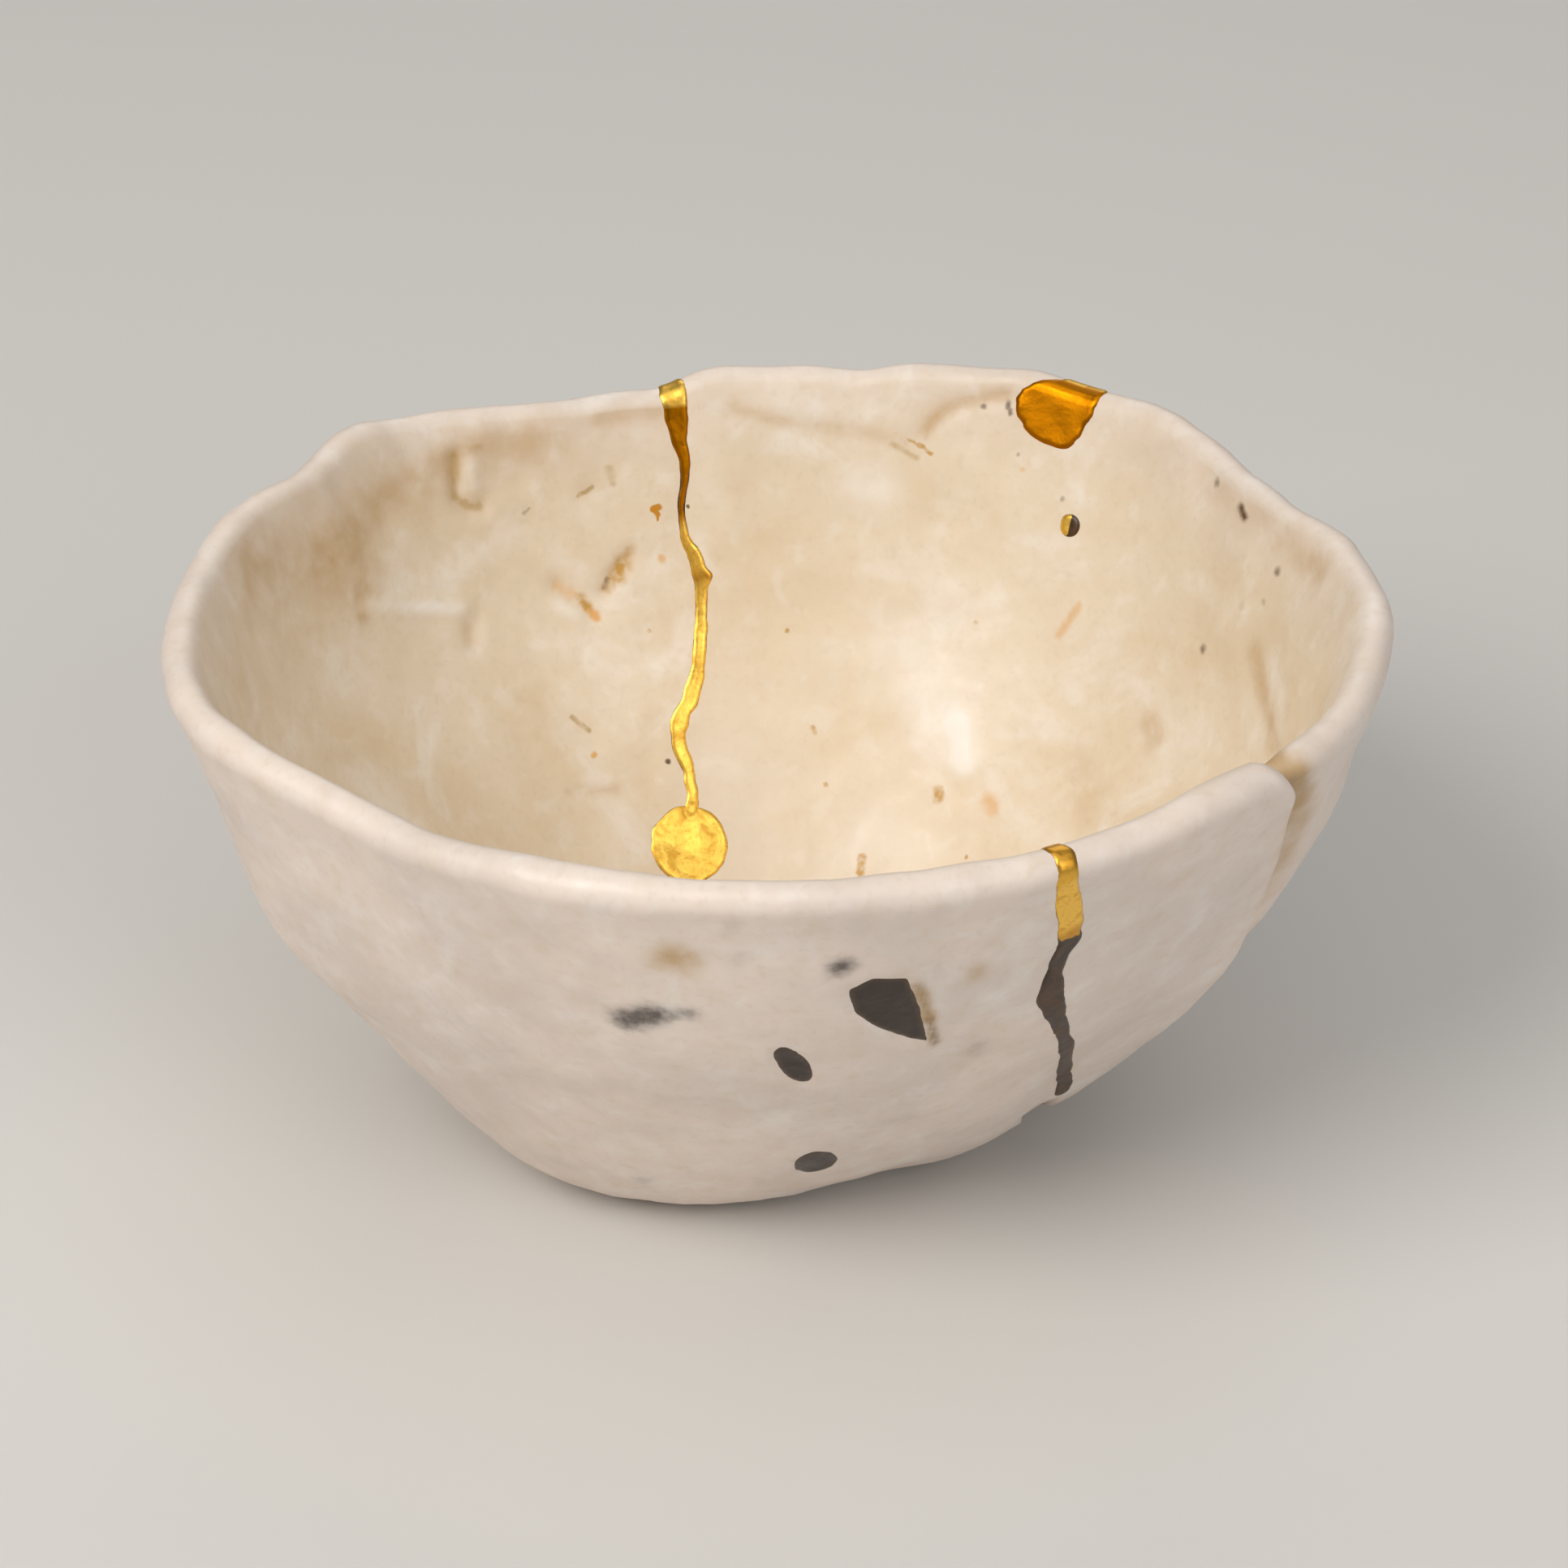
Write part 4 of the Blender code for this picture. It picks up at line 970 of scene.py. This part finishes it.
def glazed_porcelain(settings, strokes):
    """Hand-pinched porcelain under a thin satin glaze, fired in reduction, its inner face tan from staining.

    To the eye it is a milky, faintly pink white with a soft broad sheen, warm clouds inside, and
    ochre and iron spots where ash and grit met the glaze. Its colour also carries painted light:
    painted shade in the groove by the lapped edge and over the left of the inner face, and paler
    painted highlights on raised marks and where the glaze shines.
    """
    made, node, place = new_material("glazed_porcelain")
    # Patches by size in metres. The grain is drawn coarser than the clay's own, which is too fine to show
    clouds, drift, mottle, grain, peel = (
        node(NOISE, {"Vector": place, "Scale": 1.0 / size, "Detail": detail, "Distortion": distortion})
        for size, detail, distortion in (
            (0.020, 4.0, 0.6), (0.0090, 4.0, 0.8), (0.0030, 4.0, 0.3), (0.0009, 3.0, 0.0), (0.0022, 2.0, 0.0)
        )
    )
    inner, stain, dark, raw = (
        node(SHADED_NUMBER, attribute_name=title).outputs["Fac"] for title in ("inside", "stain", "dark", "raw")
    )
    faces = []
    for colour, cloudy, low, high, drifted in (
        (settings.outside_colour, "E2D3C8", 0.35, 0.65, "DCC8B8"),
        (settings.inside_colour, "DFCCB0", 0.38, 0.70, "DFC7A2"),
    ):
        colour = wash(node, colour, clouds, low, high, 1.0, cloudy)
        faces.append(wash(node, colour, drift, 0.50, 0.75, 0.45, drifted))
    colour = node(MIX, {0: inner, 6: faces[0], 7: faces[1]}, **IN_COLOUR)

    # Tan staining with painted shade in the groove and on the inner face's left side, and grey marks with the
    # groove's painted shade, each broken up by noise
    stained_and_shaded, greyed_and_shaded = (
        node(MATH, (number, node(RANGE, (noise, 0.30, 0.70, low, 1.15), **SMOOTH)), operation="MULTIPLY")
        for number, noise, low in ((stain, mottle, 0.75), (dark, grain, 0.85))
    )
    # A negative tan is painted highlight: a paler glaze on raised marks and where it shines
    painted_highlight = node(MATH, (stained_and_shaded, -1.0), operation="MULTIPLY")
    for number, low, high, most, tone in (
        (drift, 0.48, 0.28, 0.50, "F1E9DE"),
        (mottle, 0.52, 0.75, 0.22, "D8C09C"),
        (mottle, 0.48, 0.28, 0.22, "F6F1EA"),
        (grain, 0.50, 0.75, 0.16, "C9B292"),
        (stained_and_shaded, 0.0, 1.0, 1.0, "C6A578"),
        (painted_highlight, 0.0, 0.7, 0.85, "F8F3EC"),
        (greyed_and_shaded, 0.03, 0.85, 0.92, "473C38"),
    ):
        colour = wash(node, colour, number, low, high, most, tone)

    # The strokes, with their edges pushed about by up to a quarter of a millimetre
    wobble = node(NOISE, {"Vector": place, "Scale": 1.0 / 0.0008, "Detail": 3.0}).outputs["Color"]
    nudge = node(VECTOR_MATH, (wobble, (0.5, 0.5, 0.5)), operation="SUBTRACT")
    nudge = node(VECTOR_MATH, {0: nudge, "Scale": 0.0005}, operation="SCALE")
    nudged = node(VECTOR_MATH, (place, nudge), operation="ADD")
    group = mark_group()
    for tone, evenness, marks in strokes:
        total = 0.0
        for start, run, radius, blur, strength in marks:
            total = node("ShaderNodeGroup", {
                "Before": total, "Place": nudged, "Start": tuple(start), "Run": tuple(run),
                "Run over its square": tuple(run / max(run.length_squared, 1.0e-12)),
                "Outer": radius * (1.0 + blur), "Inner": radius * (1.0 - blur), "Strength": strength,
            }, node_tree=group)
        speckle = node(RANGE, (grain, 0.36, 0.60, evenness, 1.0), **SMOOTH)
        total = node(MATH, (total, speckle), operation="MULTIPLY")
        colour = node(MIX, {0: total, 6: colour, 7: tone}, **IN_COLOUR)

    broken = wash(node, "B9ADA3", grain, 0.35, 0.65, 1.0, "8E837B")
    colour = wash(node, colour, raw, 0.05, 0.45, 1.0, broken)
    rough = node(RANGE, (mottle, 0.30, 0.75, 0.42, 0.58), **SMOOTH)
    rougher = node(RANGE, (raw, 0.05, 0.45, 0.0, 0.30), **SMOOTH)
    bumps = node(BUMP, {"Height": peel, "Strength": 0.25, "Distance": 0.00012})
    bumps = node(BUMP, {"Height": grain, "Strength": 0.22, "Distance": 0.00006, "Normal": bumps})
    return finished(made, {
        "Base Color": colour, "Roughness": node(MATH, (rough, rougher), operation="ADD"), "IOR": 1.5,
        "Coat Weight": 0.12, "Coat Roughness": 0.40, "Normal": bumps,
    })


def gilded_lacquer(settings, name, crinkled):
    """Gold powder burnished on brown urushi lacquer.

    To the eye it is a bright warm metal, a deeper orange-brown where the lacquer shows through it, with soft
    wrinkles and a thin brown line of lacquer along its edge. The same deeper gold is painted on the far seam's
    upper inner part and on the inner side of the rim chip as a darker reflection. Where the gilding number is 0
    only the lacquer is drawn; at the near seam's lower end that is painted shade for the gold's darker
    reflection. The powder is drawn several times coarser than it is, so that it shows.
    """
    made, node, place = new_material(name)
    crinkle, worn, powder = (
        node(NOISE, {"Vector": place, "Scale": 1.0 / size, "Detail": detail, "Distortion": distortion})
        for size, detail, distortion in ((0.0017, 3.0, 0.8), (0.0040, 3.0, 0.5), (0.00035, 2.0, 0.0))
    )
    edge, gilding, amber = (
        node(SHADED_NUMBER, attribute_name=title).outputs["Fac"] for title in ("edge", "gilding", "amber")
    )
    # Random wear, with the painted darker reflection laid on the patch
    deep_and_dark_reflection = node(MATH, (worn, 0.7, amber), operation="MULTIPLY_ADD")
    gold = settings.gold_colour
    for number, low, high, most in (
        (deep_and_dark_reflection, 0.42, 1.10, 1.0), (crinkle, 0.50, 0.72, 0.40), (powder, 0.50, 0.75, 0.30)
    ):
        gold = wash(node, gold, number, low, high, most, settings.amber_colour)
    # Brown lacquer, also drawn at the near seam's lower end as painted shade for the gold's darker reflection
    lacquer = wash(node, "301C0A", crinkle, 0.35, 0.65, 1.0, "4E3316")
    lacquer = wash(node, lacquer, gilding, 0.5, 1.0, 0.6, "8A5A1C")

    # The gold stops short of the edge on a wavy line, and gives out in patches where the gilding ends
    bare = node(MATH, (1.0, gilding), operation="SUBTRACT")
    wavy = node(MATH, (crinkle, 0.00030, edge), operation="MULTIPLY_ADD")
    wavy = node(MATH, (bare, -0.00040, wavy), operation="MULTIPLY_ADD")
    patchy = node(MATH, (crinkle, 0.8, gilding), operation="MULTIPLY_ADD")
    gilded = node(MATH, (
        node(RANGE, (patchy, 0.70, 0.95), **SMOOTH), node(RANGE, (wavy, 0.00020, 0.00030), **SMOOTH)
    ), operation="MULTIPLY")
    bumps = node(BUMP, {"Height": crinkle, "Strength": crinkled, "Distance": 0.00025})
    bumps = node(BUMP, {"Height": powder, "Strength": 0.25, "Distance": 0.00004, "Normal": bumps})
    return finished(made, {
        "Base Color": node(MIX, {0: gilded, 6: lacquer, 7: gold}, **IN_COLOUR), "Metallic": gilded,
        "Roughness": node(RANGE, (crinkle, 0.30, 0.70, 0.32, 0.44), **SMOOTH), "Normal": bumps,
    })


def bare_lacquer(settings):
    """Brown-black urushi lacquer, brushed into the pits in coats and left ungilded.

    To the eye it is almost black, with a warm brown where it is thin and a soft gloss.
    """
    made, node, place = new_material("brown_urushi_lacquer")
    coats = node(NOISE, {"Vector": place, "Scale": 1.0 / 0.0022, "Detail": 3.0, "Distortion": 0.6})
    edge = node(SHADED_NUMBER, attribute_name="edge").outputs["Fac"]
    shade = node(MATH, (coats, node(RANGE, (edge, 0.0, 0.0007, 1.0, 0.0))), operation="MULTIPLY")
    return finished(made, {
        "Base Color": node(MIX, {0: shade, 6: settings.lacquer_colour, 7: "6A5136"}, **IN_COLOUR),
        "Roughness": node(RANGE, (coats, 0.0, 1.0, 0.22, 0.48)),
        "Normal": node(BUMP, {"Height": coats, "Strength": 0.4, "Distance": 0.0002}),
    })


def pale_table(settings):
    """A matt painted board: pale and even, with a faint cloudiness from the roller."""
    made, node, place = new_material("pale_painted_table")
    clouds = node(NOISE, {"Vector": place, "Scale": 1.0 / 0.25, "Detail": 3.0})
    base = settings.floor_colour
    colour = node(MIX, {0: clouds, 6: tuple(0.97 * part for part in base), 7: base}, **IN_COLOUR)
    return finished(made, {"Base Color": colour, "Roughness": 0.75})


# ---- Settings, operators and panel ----


def in_metres(name, description, default):
    """A setting for a length."""
    return FloatProperty(name=name, description=description, default=default, unit="LENGTH")


def as_colour(name, description, code):
    """A setting for a colour."""
    return FloatVectorProperty(
        name=name, description=description, subtype="COLOR", size=3, default=linear(code)
    )


class BowlSettings(bpy.types.PropertyGroup):
    """Unevenness and colours of the porcelain"""

    palm_relief: in_metres("Palm relief", "Height of the broad unevenness", 0.0009)
    finger_relief: in_metres("Finger relief", "Height of the finger-sized unevenness", 0.00050)
    grain_relief: in_metres("Grain relief", "Height of the clay's own grain", 0.00007)
    outside_colour: as_colour("Outside", "Glaze on the outer face", "EDDCCF")
    inside_colour: as_colour("Inside", "Glaze on the inner face", "E7D7BF")


class MendSettings(bpy.types.PropertyGroup):
    """Height and colours of the lacquer and the gold"""

    height: in_metres("Height", "How far a mend stands out of the wall", 0.00016)
    gold_colour: as_colour("Gold", "Burnished gold powder", "FFCE5A")
    amber_colour: as_colour("Amber", "Gold with the lacquer showing through it", "B87206")
    lacquer_colour: as_colour("Lacquer", "Lacquer that was left bare", "2C1C12")


class StageSettings(bpy.types.PropertyGroup):
    """Table, light and camera"""

    floor_colour: as_colour("Table", "Colour of the table", "D8D5D0")
    key_power: FloatProperty(name="Key light", description="Power of the key light", default=8.0, unit="POWER")
    lens: FloatProperty(name="Lens", description="Focal length in mm on a 36 mm sensor", default=100.43)


def add_piece(data):
    """A new object in the scene for a mesh, a light or a camera, of the same name."""
    piece = bpy.data.objects.new(data.name, data)
    bpy.context.scene.collection.objects.link(piece)
    return piece


def finish_piece(piece, node):
    """Declares a piece that stands for a node of the model."""
    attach(piece, "root")
    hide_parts(node)


def mend(name, patch, node, slot, tree, material, **changes):
    """Lays a patch on the finished bowl as a piece that stands for a node."""
    piece = add_piece(plain_mesh(name, *patch))
    shaped(piece, tree, {
        "Wall": bpy.data.objects["glazed_bowl"], "Height": bpy.context.scene.tea_bowl_mends.height,
        "Shoulder": 0.45 * MM, "Sunk edge": 0.06 * MM, "Ripple": 0.08 * MM, "Ripple size": 1.6 * MM,
        "Seed": 3.0, "Material": material, **changes,
    })
    finish_piece(piece, node)


class TEABOWL_OT_bowl(bpy.types.Operator):
    """Lofts the porcelain bowl and glazes it"""

    bl_idname = "teabowl.bowl"
    bl_label = "Porcelain bowl"

    def execute(self, context):
        settings = context.scene.tea_bowl
        piece = add_piece(bowl_mesh())
        shaped(piece, hand_relief_tree(), {
            "Palm relief": settings.palm_relief, "Palm size": 13 * MM,
            "Finger relief": settings.finger_relief, "Finger size": 5 * MM,
            "Grain relief": settings.grain_relief, "Grain size": 1.6 * MM, "Seed": 7.0,
        })
        context.view_layer.update()
        strokes = []
        for tone, evenness, marks in STROKES:
            laid = []
            for line, radius, blur, strength in marks:
                places = []
                for azimuth, height in line:
                    guess = face_points([azimuth], [height * MM], True)[0]
                    found, place, _, _ = piece.closest_point_on_mesh(Vector(guess))
                    if not found:
                        raise RuntimeError("A mark has no wall under it")
                    places.append(place)
                for start, end in zip(places, places[1:] or places):
                    laid.append((start, end - start, radius * MM, blur, strength))
            strokes.append((tone, evenness, laid))
        piece.data.materials.clear()
        piece.data.materials.append(glazed_porcelain(settings, strokes))
        finish_piece(piece, "porcelain_bowl")
        return {"FINISHED"}


class TEABOWL_OT_seams(bpy.types.Operator):
    """Lays the two seams and the round patch at the end of the far one"""

    bl_idname = "teabowl.seams"
    bl_label = "Seams"

    def execute(self, context):
        tree = laid_on_tree()
        gold = gilded_lacquer(context.scene.tea_bowl_mends, "gold_powder_on_lacquer", 0.24)

        def far_gilding(way):
            return 1.0 - 0.40 * hill((way + 0.18 + LIP_SHARE) / 0.05)

        # Near the rim, on the inner face, the gold is drawn deeper in colour: a painted darker reflection
        def far_amber_and_dark_reflection(way):
            down = -LIP_SHARE - way
            near_rim = eased((down + 0.005) / 0.02) * (1.0 - eased((down - 0.19) / 0.06))
            return near_rim + 0.45 * hill((down - FAR_BULGE) / 0.016)

        # Down the outer face the gold gives way to plain lacquer: painted shade for the gold's darker
        # reflection
        def near_gilding_and_painted_dark(way):
            return 1.0 - eased((way - NEAR_PAINTED_DARK_START - LIP_SHARE) / 0.035)

        def near_amber(way):
            return 0.5 * hill((way + 0.01) / 0.05) + 0.4 * eased((way - 0.13) / 0.05)

        far = seam(FAR_CRACK, 11, far_gilding, far_amber_and_dark_reflection, (-FAR_BULGE - LIP_SHARE, 0.78, 0.016))
        plane = wall_frame(SPOT_PLACE, True)
        spot = disc(oval(SPOT_SIZE), plane, 14, 5, np.ones_like, 0.07 * MM)
        far = joined(far, spot, plane[0], SPOT_SIZE[0] / 2)
        mend("far_seam", far, "gold_seam_far", "gold", tree, gold, Ripple=0.06 * MM)
        near = seam(NEAR_CRACK, 12, near_gilding_and_painted_dark, near_amber, (NEAR_BULGE + LIP_SHARE, 0.35, 0.02))
        mend("near_seam", near, "gold_seam_near", "gold", tree, gold)
        return {"FINISHED"}


class TEABOWL_OT_rim_chip(bpy.types.Operator):
    """Fills the chip of the rim and the pinhole below it"""

    bl_idname = "teabowl.rim_chip"
    bl_label = "Rim chip and pinhole"

    def execute(self, context):
        tree = laid_on_tree()
        gold = gilded_lacquer(context.scene.tea_bowl_mends, "smooth_gold_on_lacquer", 0.05)
        heights = {"Ripple": 0.03 * MM, "Shoulder": 0.6 * MM}
        mend("rim_chip_fill", chip(21), "gold_rim_chip", "gold", tree, gold, **heights)

        def left_half(right):
            return 1.0 - 0.85 * eased((right + 0.30 * MM) / (0.5 * MM))

        hole = disc(oval(PINHOLE_SIZE), wall_frame(PINHOLE_PLACE, True), 7, 22, left_half)
        mend("pinhole_fill", hole, "gold_pinhole", "gold", tree, gold)
        return {"FINISHED"}


class TEABOWL_OT_pits(bpy.types.Operator):
    """Fills the three pits of the outer face with bare lacquer"""

    bl_idname = "teabowl.pits"
    bl_label = "Lacquered pits"

    def execute(self, context):
        tree, lacquer = laid_on_tree(), bare_lacquer(context.scene.tea_bowl_mends)
        for seed, (node, outline, plane) in enumerate(pits(), 31):
            patch = disc(outline, plane, 10, seed, np.zeros_like)
            name = node.replace("lacquer_", "") + "_fill"
            heights = {"Height": 0.12 * MM, "Shoulder": 0.6 * MM, "Ripple": 0.10 * MM}
            mend(name, patch, node, "lacquer", tree, lacquer, **heights)
        return {"FINISHED"}


class TEABOWL_OT_stage(bpy.types.Operator):
    """Sets the table, the soft light and the camera"""

    bl_idname = "teabowl.stage"
    bl_label = "Table, light and camera"

    def execute(self, context):
        settings = context.scene.tea_bowl_stage
        corners = TABLE_REACH * np.array(((-1, -1, 0), (1, -1, 0), (1, 1, 0), (-1, 1, 0)))
        table = add_piece(plain_mesh("table", corners, [(0, 1, 2, 3)]))
        table.data.materials.append(pale_table(settings))

        for name, place, size, share, tint in LIGHTS:
            light = bpy.data.lights.new(name, "AREA")
            light.shape = "DISK"
            light.size = size
            light.energy = settings.key_power * share
            light.color = tint
            lamp = add_piece(light)
            lamp.location = place
            lamp.rotation_euler = (Vector(LIT_POINT) - lamp.location).to_track_quat("-Z", "Y").to_euler()

        world = bpy.data.worlds.new("soft_room")
        world.use_nodes = True
        room = world.node_tree.nodes["Background"]
        fill(world.node_tree, room, {"Color": ROOM_COLOUR, "Strength": ROOM_STRENGTH})
        context.scene.world = world
        context.scene.view_settings.view_transform = "Standard"

        eye = bpy.data.cameras.new("camera")
        eye.lens = settings.lens
        eye.sensor_width = 36.0
        eye.clip_start, eye.clip_end = 0.01, 20.0
        camera = add_piece(eye)
        camera.location = CAMERA_PLACE
        right, down = CAMERA_TURN
        aim = Vector(CAMERA_AHEAD) + Vector((right / FOCAL_PIXELS, 0.0, 0.0))
        aim -= Vector(CAMERA_UP) * (down / FOCAL_PIXELS)
        camera.rotation_euler = aim.to_track_quat("-Z", "Y").to_euler()
        context.scene.camera = camera
        return {"FINISHED"}


class TEABOWL_PT_panel(bpy.types.Panel):
    """The steps that make the tea bowl, with their settings"""

    bl_idname = "TEABOWL_PT_panel"
    bl_label = "Kintsugi tea bowl"
    bl_space_type = "VIEW_3D"
    bl_region_type = "UI"
    bl_category = "Tea bowl"

    def draw(self, context):
        for title, _ in SETTINGS:
            settings = getattr(context.scene, title)
            column = self.layout.column(align=True)
            for key in settings.__annotations__:
                column.prop(settings, key)
        for operator in OPERATORS:
            self.layout.operator(operator.bl_idname)


OPERATORS = (TEABOWL_OT_bowl, TEABOWL_OT_seams, TEABOWL_OT_rim_chip, TEABOWL_OT_pits, TEABOWL_OT_stage)
SETTINGS = (("tea_bowl", BowlSettings), ("tea_bowl_mends", MendSettings), ("tea_bowl_stage", StageSettings))


def register():
    for title, group in SETTINGS:
        bpy.utils.register_class(group)
        setattr(bpy.types.Scene, title, PointerProperty(type=group))
    for made in (*OPERATORS, TEABOWL_PT_panel):
        bpy.utils.register_class(made)


def unregister():
    for made in (TEABOWL_PT_panel, *reversed(OPERATORS)):
        bpy.utils.unregister_class(made)
    for title, group in reversed(SETTINGS):
        delattr(bpy.types.Scene, title)
        bpy.utils.unregister_class(group)


def main():
    register()
    bpy.ops.teabowl.bowl()
    bpy.ops.teabowl.seams()
    bpy.ops.teabowl.rim_chip()
    bpy.ops.teabowl.pits()
    bpy.ops.teabowl.stage()


if __name__ == "__main__":
    main()
